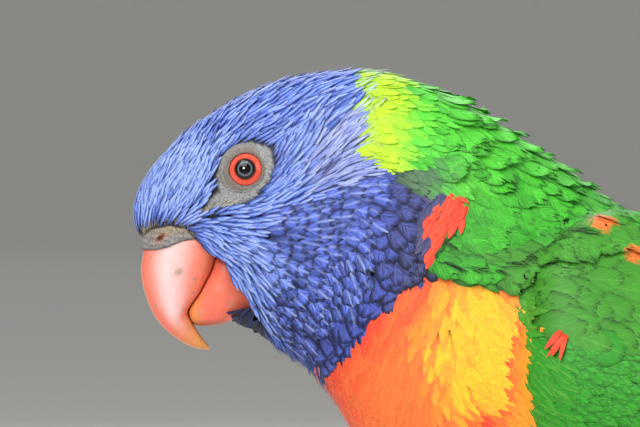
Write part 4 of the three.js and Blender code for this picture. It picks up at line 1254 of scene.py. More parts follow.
def feather_piece(name, vanes, tones, seeds, roots, shaft):
    """One object of many vanes, with their tones, marks and places for the shading and the bake."""
    rings, x, run, edge, share = vanes
    count, rows, ring = x.shape
    colour = np.broadcast_to(tones, (count, rows, ring, 3))
    marks = np.stack([edge, share, np.broadcast_to(seeds[:, None, None], x.shape)], axis=-1)
    piece = mesh_piece(name, rings, vane_faces(count, rows, ring), {"tone": colour, "marks": marks})
    corner = np.empty(len(piece.data.loops), dtype=np.int32)
    piece.data.loops.foreach_get("vertex_index", corner)
    patch_across = roots[:, 0][:, None, None] + PATCH * (np.linspace(0, 1, ring) - 0.5) + 0 * x
    patch_along = roots[:, 1][:, None, None] + PATCH * (share - 0.5)
    shafts = np.broadcast_to(shaft[:, None, None], x.shape)
    pairs = (("OFBake", (patch_across, patch_along)), ("Vane", (x, run)), ("Shaft", (shafts, shafts)))
    for title, pair in pairs:
        values = np.stack(pair, axis=-1).reshape(-1, 2)
        piece.data.uv_layers.new(name=title).data.foreach_set("uv", values[corner].ravel())
    ends = np.empty(2 * len(piece.data.edges), dtype=np.int32)
    piece.data.edges.foreach_get("vertices", ends)
    ends = ends.reshape(-1, 2)
    place, row = ends % ring, ends // ring % rows
    rim = np.zeros(len(ends), dtype=bool)
    for on_ends, value in ((place, 0), (place, ring // 2), (row, 0), (row, rows - 1)):
        rim |= (on_ends == value).all(axis=1)
    piece.data.attributes.new("sharp_edge", "BOOLEAN", "EDGE").data.foreach_set("value", rim)
    return piece


def split_map(group, title):
    """The two values of a UV map."""
    source = group.nodes.new("ShaderNodeUVMap")
    source.uv_map = title
    parts = group.nodes.new("ShaderNodeSeparateXYZ")
    wire(group, source.outputs["UV"], parts.inputs["Vector"])
    return parts.outputs["X"], parts.outputs["Y"]


def barb_group():
    """Barbs of a feather: fine streaks slanting out from a pale shaft that is partly painted highlight,
    darker at the root and at the edge, partly painted shade.
    """
    group, taken, given = new_group("barbs", (
        ("Tone", "Color"), ("Edge", "Float"), ("Root", "Float"), ("Streaks", "Float"),
        ("Shaft Tone", "Color"), ("Shaft Width", "Float"),
    ))
    calc = partial(math_node, group)
    side, run = split_map(group, "Vane")
    strength, _ = split_map(group, "Shaft")
    marks = group.nodes.new("ShaderNodeSeparateColor")
    wire(group, attribute_colour(group, "marks"), marks.inputs["Color"])
    edge, share, seed = marks.outputs["Red"], marks.outputs["Green"], marks.outputs["Blue"]
    across = calc("ABSOLUTE", side)
    slant = calc("MULTIPLY_ADD", across, -1.6, run)
    joined = group.nodes.new("ShaderNodeCombineXYZ")
    for axis, value, scale in (("X", slant, 2.4), ("Y", side, 0.35), ("Z", seed, 90.0)):
        wire(group, calc("MULTIPLY", value, scale), joined.inputs[axis])
    cloudy = noise_node(group, joined.outputs["Vector"], 1.0, 3.0)
    phase = calc("MULTIPLY_ADD", cloudy, 9.0, calc("MULTIPLY", slant, 12.6))
    wave = calc("MULTIPLY_ADD", calc("SINE", phase), 0.17, 0.1)
    streak = calc("MULTIPLY_ADD", cloudy, 0.8, wave)
    light = calc("MULTIPLY", calc("SUBTRACT", streak, 0.5), taken["Streaks"])
    light = calc("MAXIMUM", calc("ADD", light, 1.0), 0.2)
    # Darker edge: the feather's own darker margin and partly painted shade of the gaps between feathers
    rim = calc("MAXIMUM", edge, calc("POWER", share, 3.0))
    rim = calc("POWER", calc("MULTIPLY", rim, calc("MULTIPLY_ADD", streak, 1.2, 0.4)), 7.0)
    rim = calc("MINIMUM", calc("MULTIPLY", rim, taken["Edge"]), 0.85)
    root = calc("MULTIPLY", calc("POWER", calc("SUBTRACT", 1.0, share), 1.5), taken["Root"])
    shade = calc("MULTIPLY", light, calc("SUBTRACT", 1.0, rim))
    shade = calc("MULTIPLY", shade, calc("SUBTRACT", 1.0, root))
    # Pale shaft: the shaft's own paler tone and partly a painted highlight
    near = calc("DIVIDE", across, taken["Shaft Width"])
    near = calc("EXPONENT", calc("MULTIPLY", calc("MULTIPLY", near, near), -1.0))
    near = calc("MULTIPLY", near, strength)
    near = calc("MULTIPLY", near, calc("POWER", share, 0.7))
    vane = scaled_colour(group, taken["Tone"], shade)
    wire(group, mixed(group, near, vane, taken["Shaft Tone"]), given["Colour"])
    wire(group, calc("MULTIPLY_ADD", near, 0.6, streak), given["Height"])
    return group


barbs = barb_group()


def feather_material(name, shaft_tone, shaft_width, edge, root, streaks, roughness, sheen):
    """Feather of one part of the bird."""
    values = {
        "Edge": edge, "Root": root, "Streaks": streaks,
        "Shaft Tone": linear(shaft_tone), "Shaft Width": shaft_width,
    }
    material, shader = grouped_material(name, barbs, roughness, values, 0.5, 0.00005)
    shader.inputs["Sheen Weight"].default_value = sheen
    shader.inputs["Sheen Roughness"].default_value = 0.4
    shader.inputs["Specular IOR Level"].default_value = 0.3
    return material


TONES = linear([
    (80, 118, 242), (84, 104, 214), (192, 234, 44), (84, 122, 92), (240, 74, 50),
    (254, 150, 60), (56, 164, 40), (68, 150, 42), (48, 152, 36), (44, 52, 160),
    (190, 206, 50), (160, 208, 56), (58, 160, 44), (84, 106, 206), (120, 138, 222),
])
ORANGE_SPOTS = ((66.0, -9.8), (71.5, -15.6))
YELLOW_PLATE = np.array([(-60, 44), (-47, 46.3), (-40.5, 48.8), (-28.6, 51.0), (-20, 53)])


def near_to(y, z, place, wide, high):
    """Distance in side view from a place, in shares of a width and a height."""
    return np.hypot((y - place[0]) / wide, (z - place[1]) / high)


def on_parts(part, parts, new, tone):
    """New tones on some parts of the coat, and the tones as they are elsewhere."""
    return np.where(np.isin(part, parts)[:, None], new, tone)


def breast_tones(y, z, draw):
    """Orange-red next to the hood, yellow over the side, and an orange plate before the wing."""
    spread = draw - 0.5
    bars = 0.8 * y - 0.6 * z
    yellow = 1.35 - near_to(y + (z + 32) * 0.15, z, (44, -34), 11, 14) ** 2
    yellow = np.minimum(yellow, 0.25 + (y - 30 - (z + 40) * 0.3) / 12)
    yellow = yellow + 0.3 * np.sin(1.5 * bars + 2.0 * np.sin(0.45 * bars + 0.1 * y))
    breast = towards(linear((255, 122, 56)), (252, 200, 40), yellow + spread * 0.5)
    by_hood = np.clip(1.15 - (y - np.interp(z, *HOOD_EDGE.T)) / 12, 0, 1)
    breast = towards(breast, (246, 72, 46), by_hood * (0.8 + 0.35 * np.sin(1.9 * bars)) + spread * 0.3)
    breast = breast * (0.92 + 0.16 * draw[:, None])
    from_plate = y - np.interp(z, *YELLOW_PLATE.T)
    plate = towards(linear((252, 98, 44)), (252, 160, 42), from_plate / 4.5 + spread * 0.3)
    breast = np.where((from_plate > 0)[:, None], plate, breast)
    return towards(breast, (250, 76, 48), 1.3 - near_to(y, z, (44.6, -46.5), 3.4, 3.0))


def tones_at(at, part, draw):
    """Colour at each place on a feather, from the place, the part it belongs to and the feather's draw."""
    tone = TONES[part]
    y, z = at[:, 1], at[:, 2]
    spread = draw - 0.5
    hood = tone * (0.62 + 0.76 * draw[:, None])
    hood = towards(hood, (150, 182, 255), 0.5 - near_to(y, z, (-13, 1), 26, 26) + spread * 0.5)
    hood = towards(hood, (150, 176, 250), 0.75 - near_to(y, z, (15, 5), 10, 10) + spread * 0.9)
    hood = towards(hood, (140, 170, 255), 0.65 - near_to(y, z, (3, -19), 12, 12) + spread * 0.6)
    hood = towards(hood, (60, 62, 96), (spread - 0.32) * 3)
    tone = on_parts(part, (HOOD, CHEEK), hood, tone)
    streaked = towards(towards(tone, (190, 200, 244), spread * 1.8), (54, 58, 104), (0.22 - draw) * 6)
    tone = on_parts(part, STREAK, streaked, tone)
    dull = 0.25 + spread * 0.5 + np.clip((y - 25) / 8, 0, 1) * 0.6
    scale = towards(tone * (0.75 + 0.4 * draw[:, None]), (62, 64, 104), dull)
    tone = on_parts(part, SCALE, scale, tone)
    tone = on_parts(part, BREAST, breast_tones(y, z, draw), tone)
    greener = np.clip((y - 27) / 6, 0, 1) + np.clip((z - 15) / 6, 0, 1) * 0.6
    collar = towards(tone, (96, 222, 60), greener + spread * 0.3)
    tone = on_parts(part, COLLAR, collar, tone)
    mantle = towards(tone, (60, 150, 84), 0.6 - near_to(y, z, (38, 1), 8, 8) + spread * 0.4)
    mantle = towards(mantle, (92, 222, 60), np.clip((z + 12) / 20, 0, 1) * 0.7 + spread * 0.4)
    tone = on_parts(part, MANTLE, mantle, tone)
    dusk = towards(TONES[DUSKY], (66, 126, 76), (y - 32) / 6 + spread * 0.5)
    dusk = towards(dusk, (84, 196, 62), (y - 35.5) / 4 + np.clip((z + 1) / 4, 0, 1) * 0.3 + spread * 0.8)
    dusk = towards(dusk, (44, 62, 62), (31 - y) / 5 + spread * 0.8)
    tone = on_parts(part, DUSKY, dusk, tone)
    behind_lobe = y - 33.5 - (z + 20) * 0.35 > 1.6
    around = np.where(behind_lobe[:, None], TONES[MANTLE], linear((66, 68, 116)))
    around = np.where((z > -6)[:, None], dusk, around)
    tone = np.where((~inside(RED_LOBE, y, z) & (part == RED))[:, None], around, tone)
    for place in ORANGE_SPOTS:
        spot = (near_to(y, z, place, 2.1, 1.6) < 1) & (np.abs(at[:, 0]) > 4)
        spot = spot & np.isin(part, (MANTLE, SCAPULAR))
        tone = np.where(spot[:, None], linear((252, 124, 56)), tone)
    return on_parts(part, (*FACE, BREAST), tone, tone * (0.93 + 0.14 * draw[:, None]))


draw = rng.random(len(root_at))
root_y, root_z = root_at[:, 1], root_at[:, 2]
depth = coat_depth(root_u, root_y, root_z) - root_lower
# The mantle's lower edge stands over the shoulder in a step
over_line = root_z - np.interp(root_y, *MANTLE_EDGE.T)
on_line = (root_part == MANTLE) & (root_y > 34) & (root_y < 68) & (over_line > 0)
depth = depth + 0.7 * np.exp(-((over_line / 3.5) ** 2)) * on_line
is_hood = root_part == HOOD
vary = 0.85 + 0.3 * rng.random((2, len(draw)))
lengths = np.where(is_hood, 2.0 + 4.2 * root_apart, LENGTH[root_part]) * vary[0]
half_widths = np.where(is_hood, 0.55 * root_apart + 0.12, HALF_WIDTH[root_part]) * vary[1]
# A feather takes the tone of the part under its tip, but keeps its own over the breast and within the face
tip_at = root_at + root_ways * (0.7 * lengths)[:, None]
tip_part = parts_at(tip_at, *body_place(tip_at))
over_breast = np.isin(root_part, (MANTLE, SCAPULAR, COVERT, SCALE, CHEEK)) & np.isin(tip_part, (BREAST, RED))
tip_part[over_breast] = root_part[over_breast]
lengths[over_breast] *= 0.6
keep_root = np.isin(root_part, FACE) & np.isin(tip_part, FACE) | (root_part == RED)
tip_part = np.where(keep_root, root_part, tip_part)
seeds = rng.random(len(draw))
sway = (rng.random(len(draw)) - 0.5) * 0.45
on_back = np.isin(root_part, (MANTLE, COLLAR))
lift = np.where(on_back, 2.0 * np.clip(root_z / 8 + 0.8, 0, 1) * rng.random(len(draw)) ** 3, 0.0)
lift = np.where(root_part == COLLAR, 0.4 * lift, lift)
lift = np.where(is_hood & (root_z > 2), 0.9 * rng.random(len(draw)) ** 4, lift)
# Piece, parts of the coat by root, side, slot, outline, columns, camber, ragged tip and shaft strength,
# then its material's shaft tone, shaft width, dark edge, dark root, streaks, roughness and sheen
COAT = (
    ("hood_left", (HOOD,), 1, "plumage_blue", LANCE, 3, 0.1, 0.0, 0.8,
     ((182, 204, 255), 0.17, 2.2, 0.75, 2.0, 0.55, 0.05)),
    ("hood_right", (HOOD,), -1, "plumage_blue", LANCE, 3, 0.1, 0.0, 0.8, None),
    ("ear_streaks", (STREAK,), 0, "plumage_blue", LANCE, 3, 0.2, 0.0, 0.2,
     ((200, 214, 255), 0.1, 0.5, 0.5, 0.8, 0.55, 0.05)),
    ("cheeks", (CHEEK,), 0, "plumage_blue", BLUNT, 7, 0.08, 0.3, 0.6,
     ((170, 190, 250), 0.22, 5.0, 0.7, 3.8, 0.6, 0.0)),
    ("cheek_scales", (SCALE,), 0, "plumage_blue", BLUNT, 9, 0.06, 0.2, 0.2,
     ((110, 130, 220), 0.2, 8.0, 0.7, 3.2, 0.6, 0.0)),
    ("collar", (COLLAR, DUSKY), 0, "plumage_collar", LANCE, 3, 0.06, 0.0, 0.1,
     ((236, 252, 140), 0.1, 0.2, 0.2, 1.2, 0.6, 0.05)),
    ("breast_left", (BREAST, RED), 1, "plumage_breast", LANCE, 3, 0.05, 0.0, 0.1,
     ((255, 226, 130), 0.1, 0.12, 0.1, 1.2, 0.6, 0.05)),
    ("breast_right", (BREAST, RED), -1, "plumage_breast", LANCE, 3, 0.05, 0.0, 0.1, None),
    ("mantle", (MANTLE, RUMP), 0, "plumage_green", ROUND, 7, 0.07, 0.25, 0.1,
     ((150, 230, 110), 0.12, 0.5, 0.3, 1.7, 0.55, 0.05)),
    ("scapulars", (SCAPULAR,), 0, "plumage_green", ROUND, 9, 0.05, 0.05, 0.25,
     ((140, 200, 96), 0.15, 0.5, 0.3, 1.0, 0.5, 0.05)),
    ("lesser_coverts", (COVERT,), 0, "plumage_green", LANCE, 3, 0.07, 0.0, 0.2,
     ((120, 210, 90), 0.12, 0.4, 0.3, 1.8, 0.5, 0.05)),
    ("belly", (BELLY,), 0, "plumage_blue", ROUND, 5, 0.08, 0.12, 0.1,
     ((90, 110, 220), 0.12, 0.4, 0.4, 0.9, 0.55, 0.05)),
    ("flanks", (FLANK, VENT), 0, "plumage_green", ROUND, 5, 0.08, 0.12, 0.1,
     ((220, 236, 110), 0.12, 0.2, 0.35, 0.8, 0.6, 0.05)),
)
for name, parts, half, slot, outline, columns, camber, ragged, shaft, finish in COAT:
    chosen = np.isin(root_part, parts)
    if half:
        chosen &= (root_at[:, 0] >= 0) == (half > 0)
    shares = FINE_SHARES if outline is LANCE else BROAD_SHARES
    vanes = lay_feathers(
        root_at[chosen], root_ways[chosen], lengths[chosen], half_widths[chosen],
        depth[chosen] + 0.06 * (draw[chosen] - 0.5), lift[chosen], shares, outline, camber, columns, bed,
        sway[chosen], ragged, RISE[root_part[chosen]],
    )
    unwrap = np.column_stack([root_u[chosen] / LAST_SECTION, (root_angle[chosen] / (2 * np.pi)) % 1])
    # Broad feathers change their tone along the vane, and the others have one tone each
    places = vanes[0] if outline is ROUND else np.broadcast_to(tip_at[chosen][:, None, None], vanes[0].shape)
    each = np.repeat(np.arange(len(places)), places.shape[1] * places.shape[2])
    tones = tones_at(places.reshape(-1, 3), tip_part[chosen][each], draw[chosen][each]).reshape(places.shape)
    tones = tones * np.linspace(0.85, 1.04, len(shares))[None, :, None, None]
    shafts = shaft * (0.3 + 0.9 * draw[chosen])
    piece = feather_piece(f"{name}_feathers", vanes, tones, seeds[chosen], unwrap, shafts)
    if finish:
        material = feather_material(f"{name}_feather", *finish)
    piece.data.materials.append(material)
    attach(piece, "root")
flank_material = material


# Loose feathers and bristles that stand out on their own: the black tuft under the lower bill, the pale
# bristles over the cere and in the tail of the bare patch, dark barbs that paint the shadow under the
# mantle's edge, and a red tuft.
CHIN_LINE = [(0.4, -25.6), (2.4, -27.6), (4.6, -29.6), (7.4, -31.8)]
CERE_LINE = [(-19.0, -12.2), (-18.0, -10.9), (-14.4, -10.2), (-11.4, -10.8), (-9.6, -12.6)]
TAIL_LINE = [(-8.2, -7.9), (-6.4, -6.8), (-4.2, -6.2), (-1.6, -5.8)]
MANTLE_SHADOW_LINE = [(35.5, -17.2), (40.0, -18.2), (44.4, -18.8), (50.1, -17.0), (56.8, -15.4), (62.0, -13.4)]
TUFT_LINE = [(58.4, -29.4), (59.6, -30.2)]
THROAT_LINE = [(3.4, -29.2), (7.0, -31.6), (10.5, -34.2), (13.0, -36.5)]
CREST_LINE = [(12.8, -34.2), (15.0, -38.0), (18.5, -44.0), (23.0, -51.0)]
# Line, spread about it, count a side, reach from the middle or 0 where they are rooted on the bird's side,
# way at its start and end in degrees, length, half width, height over the bed, lift, and tones
LOOSE = (
    (CHIN_LINE, 1.6, 150, 8.0, 222, 262, 4.2, 0.45, 0.5, 0.6, ((24, 26, 38), (40, 50, 96))),
    (THROAT_LINE, 1.4, 90, 7.0, 286, 300, 4.6, 0.34, 0.9, 1.1, ((26, 34, 70), (90, 122, 224))),
    (CREST_LINE, 1.2, 110, 8.0, 288, 296, 4.0, 0.28, 0.9, 1.2, ((214, 84, 60), (252, 170, 130))),
    (CERE_LINE, 0.3, 110, 0, 95, 60, 1.5, 0.05, 0.3, 0.5, ((176, 166, 132), (120, 110, 96))),
    (TAIL_LINE, 0.8, 120, 0, 200, 215, 1.3, 0.05, 0.15, 0.35, ((226, 222, 206), (96, 94, 90))),
    # Painted shadow: dark strands under the mantle's lower edge
    (MANTLE_SHADOW_LINE, 0.4, 60, 0, -28, -4, 3.6, 0.07, 3.3, 0.3, ((22, 30, 20), (30, 60, 26))),
    (TUFT_LINE, 0.3, 5, 0, 245, 240, 4.6, 0.5, 3.3, 0.2, ((236, 60, 36), (248, 84, 50))),
)
BESIDE = 40.0
loose_sets, loose_tones, loose_roots = [], [], []
for line, spread, count, reach, first, last, length, half_width, height, lift_by, (dark, light) in LOOSE:
    along = rng.random(count)
    place = along_table(line, along * (len(line) - 1)) + spread * (rng.random((count, 2)) - 0.5)
    for sign in (1, -1):
        if reach:
            start = np.column_stack([sign * reach * rng.random(count), place])
        else:
            beside = np.column_stack([np.full(count, sign * BESIDE), place]).tolist()
            hits = [bed.ray_cast(Vector(a), Vector((-sign, 0, 0)))[0] for a in beside]
            start = np.array([a if hit is None else hit for a, hit in zip(beside, hits)])
        turn = np.radians(first + (last - first) * along + 24 * (rng.random(count) - 0.5))
        ways = np.column_stack([np.zeros(count), np.cos(turn), np.sin(turn)])
        vary = 0.75 + 0.5 * rng.random((2, count))
        loose_sets.append(lay_feathers(
            start, ways, length * vary[0], half_width * vary[1], np.full(count, height),
            lift_by * rng.random(count), FINE_SHARES, LANCE, 0.1, 3, bed,
            0.5 * (rng.random(count) - 0.5), 0.0, 0.1,
        ))
        loose_tones.append(towards(linear(dark), light, rng.random(count)))
        loose_roots.append(np.column_stack([0.3 + 0.02 * place[:, 0], 0.5 + 0.3 * sign * along]))


def stack_vanes(vanes):
    """Vanes of several kinds, with equal rows and rings, as one set."""
    return [np.concatenate([vane[k] for vane in vanes]) for k in range(5)]


loose_tone = np.concatenate(loose_tones)[:, None, None]
loose_count = len(loose_tone)
loose = feather_piece(
    "loose_feathers", stack_vanes(loose_sets), loose_tone, rng.random(loose_count),
    np.concatenate(loose_roots), np.zeros(loose_count),
)
loose.data.materials.append(feather_material("loose_feather", (200, 200, 200), 0.1, 0.2, 0.1, 0.8, 0.55, 0.0))
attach(loose, "root")


# Wings, folded: the flight feathers and their coverts in overlapping tiers over the arm, each feather a
# thin stiff vane on its own shaft. The secondaries are green, the primaries dusky with green outer webs.
def wing_breadth(distance):
    """Distance from the lower to the upper edge of the folded wing."""
    low = np.zeros_like(distance)
    return np.linalg.norm(wing_at(distance, low + 1) - wing_at(distance, low), axis=-1)


def fan(first, last, count):
    """Feather rows spread evenly between a first and a last one."""
    t = np.linspace(0, 1, count)[:, None]
    return np.asarray(first) * (1 - t) + np.asarray(last) * t


# Root distance and share, tip distance and share, half width
PRIMARIES = fan([66, 0.06, 148, 0.10, 3.0], [66, 0.42, 124, 0.9, 3.8], 9)
PRIMARIES[1:4, 2] = [153, 154, 151]
SECONDARIES = fan([56, 0.26, 101, 0.38, 4.6], [56, 0.74, 97, 0.82, 4.8], 9)
TERTIALS = fan([54, 0.8, 99, 0.84, 5.2], [50, 0.94, 105, 0.93, 5.4], 3)
PRIMARY_COVERTS = fan([44, 0.05, 70, 0.06, 3.6], [44, 0.2, 66, 0.22, 4.2], 4)
GREATER_COVERTS = fan([46, 0.24, 67, 0.28, 4.4], [44, 0.94, 68, 0.93, 4.6], 11)
MEDIAN_COVERTS = fan([32, 0.16, 50, 0.2, 4.0], [30, 0.97, 51, 0.96, 4.2], 12)
ALULA = fan([18, 0.06, 50, 0.07, 4.2], [18, 0.12, 44, 0.14, 3.8], 3)
PRIMARY_TONE = (26, 40, 26)
OUTER_WEB = (52, 128, 44)
# Feathers of a tier, height of root and tip over the arm, tilt, and tone
WING_TIERS = [
    (PRIMARIES, -0.5, 0.2, 0.4, PRIMARY_TONE),
    (SECONDARIES, -0.3, 0.7, 0.4, (40, 122, 36)),
    (TERTIALS, 0.1, 0.95, 0.4, (46, 132, 40)),
    (PRIMARY_COVERTS, -0.4, 0.8, 0.4, (40, 112, 40)),
    (GREATER_COVERTS, -0.4, 1.1, 0.4, (46, 138, 38)),
    (MEDIAN_COVERTS, -0.4, 1.1, 0.35, (50, 148, 38)),
    (ALULA, -0.3, 1.15, 0.3, (40, 118, 40)),
]
# Places of a flight feather's rows along it, its width there, and the places round each of its rings
LONG_SHARES = np.array([0, 0.15, 0.3, 0.45, 0.58, 0.7, 0.8, 0.88, 0.94, 0.98, 1])
LONG_VANE = np.array([0.55, 0.75, 0.88, 0.96, 1.0, 1.0, 0.95, 0.84, 0.66, 0.42, 0.12])
LONG_COLUMNS = 7
RING_ACROSS, RING_OVER = vane_ring(LONG_COLUMNS, 0.09)
SHAFT_RIDGE = np.exp(-((RING_ACROSS / 0.16) ** 2)) * 0.10 * (RING_OVER > 0)
RING = len(RING_ACROSS)
MIRRORED = np.concatenate([np.arange(LONG_COLUMNS)[::-1], np.arange(LONG_COLUMNS, RING)[::-1]])
# How far a wing feather strays from its row: root distance and share, tip distance and share, half width
STRAYS = [0.5, 0.004, 0.7, 0.006, 0.05]


def wing_tier(feathers, root, tip, tilt):
    """Vanes of one tier of the left wing, each a little off its row."""
    feathers = feathers + rng.normal(0, 1, feathers.shape) * STRAYS
    root_distance, root_share, tip_distance, tip_share, half = feathers.T[:, :, None, None]
    t = LONG_SHARES[None, :, None]
    width = LONG_VANE[None, :, None]
    x = half * width * RING_ACROSS
    distance = root_distance + (tip_distance - root_distance) * t + 0 * x
    share = root_share + (tip_share - root_share) * t + x / wing_breadth(distance)
    camber = 0.25 * (1 - RING_ACROSS**2) - 0.1 + SHAFT_RIDGE
    height = wing_bulge(distance, np.clip(share, 0, 1)) + root + (tip - root) * t
    height = height - tilt * RING_ACROSS * width + camber + RING_OVER
    run = (tip_distance - root_distance) * t + 0 * x
    return on_wing(distance, share, height), x, run, np.abs(RING_ACROSS) + 0 * x, t + 0 * x


def mirrored(vanes):
    """Vanes of the left side as they lie on the right, with rings that still run the same way round."""
    return [vanes[0][:, :, MIRRORED] * [-1, 1, 1]] + [part[:, :, MIRRORED] for part in vanes[1:]]


wing_material = feather_material("wing_feather", (150, 190, 90), 0.13, 0.5, 0.3, 0.6, 0.45, 0.1)
wing_sets, wing_tones, wing_roots = [], [], []
for feathers, root, tip, tilt, colour in WING_TIERS:
    vanes = wing_tier(feathers, root, tip, tilt)
    tone = linear(colour) * (0.8 + 0.4 * rng.random((len(feathers), 1, 1, 1)))
    tone = tone * np.linspace(0.8, 1.12, len(LONG_SHARES))[None, :, None, None]
    tone = np.broadcast_to(tone, (*vanes[1].shape, 3))
    if colour == PRIMARY_TONE:
        tone = np.where((vanes[1] < 0)[..., None], tone + linear(OUTER_WEB) * 0.8, tone)
    wing_sets.append(vanes)
    wing_tones.append(tone)
    wing_roots.append(np.column_stack([feathers[:, 0] / WING_LENGTH * 0.5 + 0.1, feathers[:, 1] * 0.8 + 0.1]))
left_vanes = stack_vanes(wing_sets)
left_tone = np.concatenate(wing_tones)
wing_root = np.concatenate(wing_roots)
wing_seeds = rng.random(len(wing_root))
wing_shafts = np.full(len(wing_root), 0.35)


def even_tone(points, colour):
    """The same tone at every point."""
    return {"tone": np.tile(linear(colour), (len(points), 1))}


wing_sides = (
    (1, "left", left_vanes, left_tone),
    (-1, "right", mirrored(left_vanes), left_tone[:, :, MIRRORED]),
)
for sign, word, vanes, tone in wing_sides:
    arm = mesh_piece(f"arm_{word}", arm_points * [sign, 1, 1], arm_faces, even_tone(arm_points, (30, 66, 26)))
    merge_and_point_out(arm)
    arm.data.materials.append(skin_material(f"arm_skin_{word}", 900.0, 0.8, 0.5))
    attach(arm, "root")
    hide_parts(f"wing_{word}")
    wing = feather_piece(f"wing_feathers_{word}", vanes, tone, wing_seeds, wing_root, wing_shafts)
    wing.data.materials.append(wing_material)
    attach(wing, "root")
    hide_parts(f"wing_{word}")


# Tail: six pairs of long pointed feathers, the middle pair longest and on top, green above and
# yellow below, with shorter coverts over and under their roots.
TAIL_ROOT = np.array([142.0, -49.5])
TAIL_DROP = math.radians(16)
TAIL_LENGTH = 131
# Length, half width and slant in degrees of the feathers of the left half, from the middle outwards
TAIL_FEATHERS = [
    (TAIL_LENGTH, 5.4, -0.55), (121, 5.4, 0.7), (110, 5.4, 1.9), (99, 5.2, 3.2), (88, 5.0, 4.5),
    (77, 4.8, 5.9),
]
# Start, length, half width, place across, slant, height of root and tip, of the coverts over and under it
TAIL_COVERTS = [
    (6, 40, 4.4, 2.4, 2, 3.2, 2.1), (4, 31, 3.8, 4.6, 3, 2.6, 1.8), (3, 23, 4.2, 2.6, 2, 4.0, 3.0),
    (6, 42, 4.4, 2.4, 2, -3.4, -2.5), (4, 32, 3.8, 4.6, 3, -2.8, -2.2), (3, 23, 4.2, 2.6, 2, -4.2, -3.2),
]
COVERT_ROUND = 13.5
TAIL_VANE = np.array([0.45, 0.64, 0.8, 0.93, 1.0, 0.94, 0.8, 0.58, 0.36, 0.2, 0.06])


def on_tail(distance, across, height):
    """Places along the tail, by distance from its root, across it and above its middle plane."""
    c, s = math.cos(TAIL_DROP), math.sin(TAIL_DROP)
    behind = TAIL_ROOT[0] + distance * c + height * s
    return np.stack([across, behind, TAIL_ROOT[1] - distance * s + height * c], axis=-1)


def tail_vane(start, length, half_width, across, degrees, root, tip, outline, rounded):
    """One vane of the left half of the tail, which may follow the rounded root of the tail."""
    t = LONG_SHARES[:, None]
    turn = math.radians(degrees)
    x = half_width * outline[:, None] * RING_ACROSS
    along = start + length * t + 0 * x
    out = across + length * t * math.sin(turn) + x
    fall = np.sqrt(np.clip(1 - (out / COVERT_ROUND) ** 2, 0, 1)) if rounded else 1.0
    camber = 0.2 * (1 - RING_ACROSS**2) + SHAFT_RIDGE
    height = (root + (tip - root) * t) * fall + 0.15 * RING_ACROSS * outline[:, None] + RING_OVER
    height = height + camber * np.sign(root if rounded else 1)
    rings = on_tail(along * math.cos(turn), out, height)
    return [part[None] for part in (rings, x, length * t + 0 * x, np.abs(RING_ACROSS) + 0 * x, t + 0 * x)]


tail_sets, tail_tones = [], []
under_side = (np.arange(RING) >= LONG_COLUMNS)[:, None]
for i, (length, half_width, degrees) in enumerate(TAIL_FEATHERS):
    height = 1.1 - 0.5 * i
    across = 2.2 + 0.3 * i
    tail_sets.append(tail_vane(0, length, half_width, across, degrees, height, height, TAIL_VANE, False))
    tail_tones.append(np.where(under_side, linear((176, 170, 52)), linear((44, 128, 40)) * (1 - 0.04 * i)))
for start, length, half_width, across, degrees, root, tip in TAIL_COVERTS:
    tail_sets.append(tail_vane(start, length, half_width, across, degrees, root, tip, LONG_VANE, True))
    tail_tones.append(np.tile(linear((50, 146, 38) if root > 0 else (158, 190, 44)), (RING, 1)))
left_tail = stack_vanes(tail_sets)
tail_tone = np.repeat(np.array(tail_tones)[:, None], len(LONG_SHARES), axis=1)
tail_tone = np.concatenate([tail_tone, tail_tone[:, :, MIRRORED]])
tail_count = len(tail_tone)
tail = feather_piece(
    "tail_feathers", stack_vanes([left_tail, mirrored(left_tail)]), tail_tone, rng.random(tail_count),
    np.column_stack([np.full(tail_count, 0.95), np.linspace(0.1, 0.9, tail_count)]), np.full(tail_count, 0.4),
)
tail.data.materials.append(feather_material("tail_feather", (60, 70, 40), 0.13, 0.5, 0.3, 0.6, 0.45, 0.1))
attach(tail, "root")
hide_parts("tail")
# Share of the tail's length, half width and half height of the stump under the roots of its feathers
TAIL_CORE = np.array([[0.0, 8.4, 5.7], [0.1, 8.8, 4.4], [0.2, 8.8, 2.6], [0.36, 7.0, 1.2]])
CORE_INSET = 0.94
core_u, core_angle = ring_grid(len(TAIL_CORE) - 1, 40, 48)
core = along_table(TAIL_CORE, core_u)
core_across = core[..., 1] * np.cos(core_angle) * CORE_INSET
core_points, core_faces = closed_loft(
    on_tail(core[..., 0] * TAIL_LENGTH, core_across, core[..., 2] * np.sin(core_angle) * CORE_INSET)
)
stump = mesh_piece("tail_root", core_points, core_faces, even_tone(core_points, (40, 80, 30)))
merge_and_point_out(stump)
stump.data.materials.append(skin_material("tail_root_skin", 900.0, 0.8, 0.5))
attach(stump, "root")
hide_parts("tail")


# Feet and thighs: grey scaled skin over shank and toes, two toes forward and two back, each with a
# curved horn claw. Feathers hang down the thigh to the ankle.
TOE_RADIUS = 1.75
# Name, way in degrees from straight ahead, and length of each toe
TOES = (("inner_front", -14, 14), ("outer_front", 16, 20), ("outer_back", 158, 17), ("inner_back", 198, 10))
# Height of a toe's middle over the floor along it, in its radii
TOE_RISES = np.array([1.5, 0.95, 0.9, 0.92])
KNUCKLE_APART = 5
CLAW_LENGTH = 6.5
CLAW_RADIUS = 1.2
CLAW_ARCH = [0.2, 1.1, 0.6, -1.1]
TARSUS_RADIUS = 2.1
TARSUS_RADII = [TARSUS_RADIUS * 1.2, TARSUS_RADIUS * 0.82, TARSUS_RADIUS * 1.15]
TARSUS_BOW = 0.8
THIGH_FEATHERS = 420


def toe_way(turn):
    """The way a toe points."""
    return np.array([math.sin(math.radians(turn)), -math.cos(math.radians(turn)), 0.0])


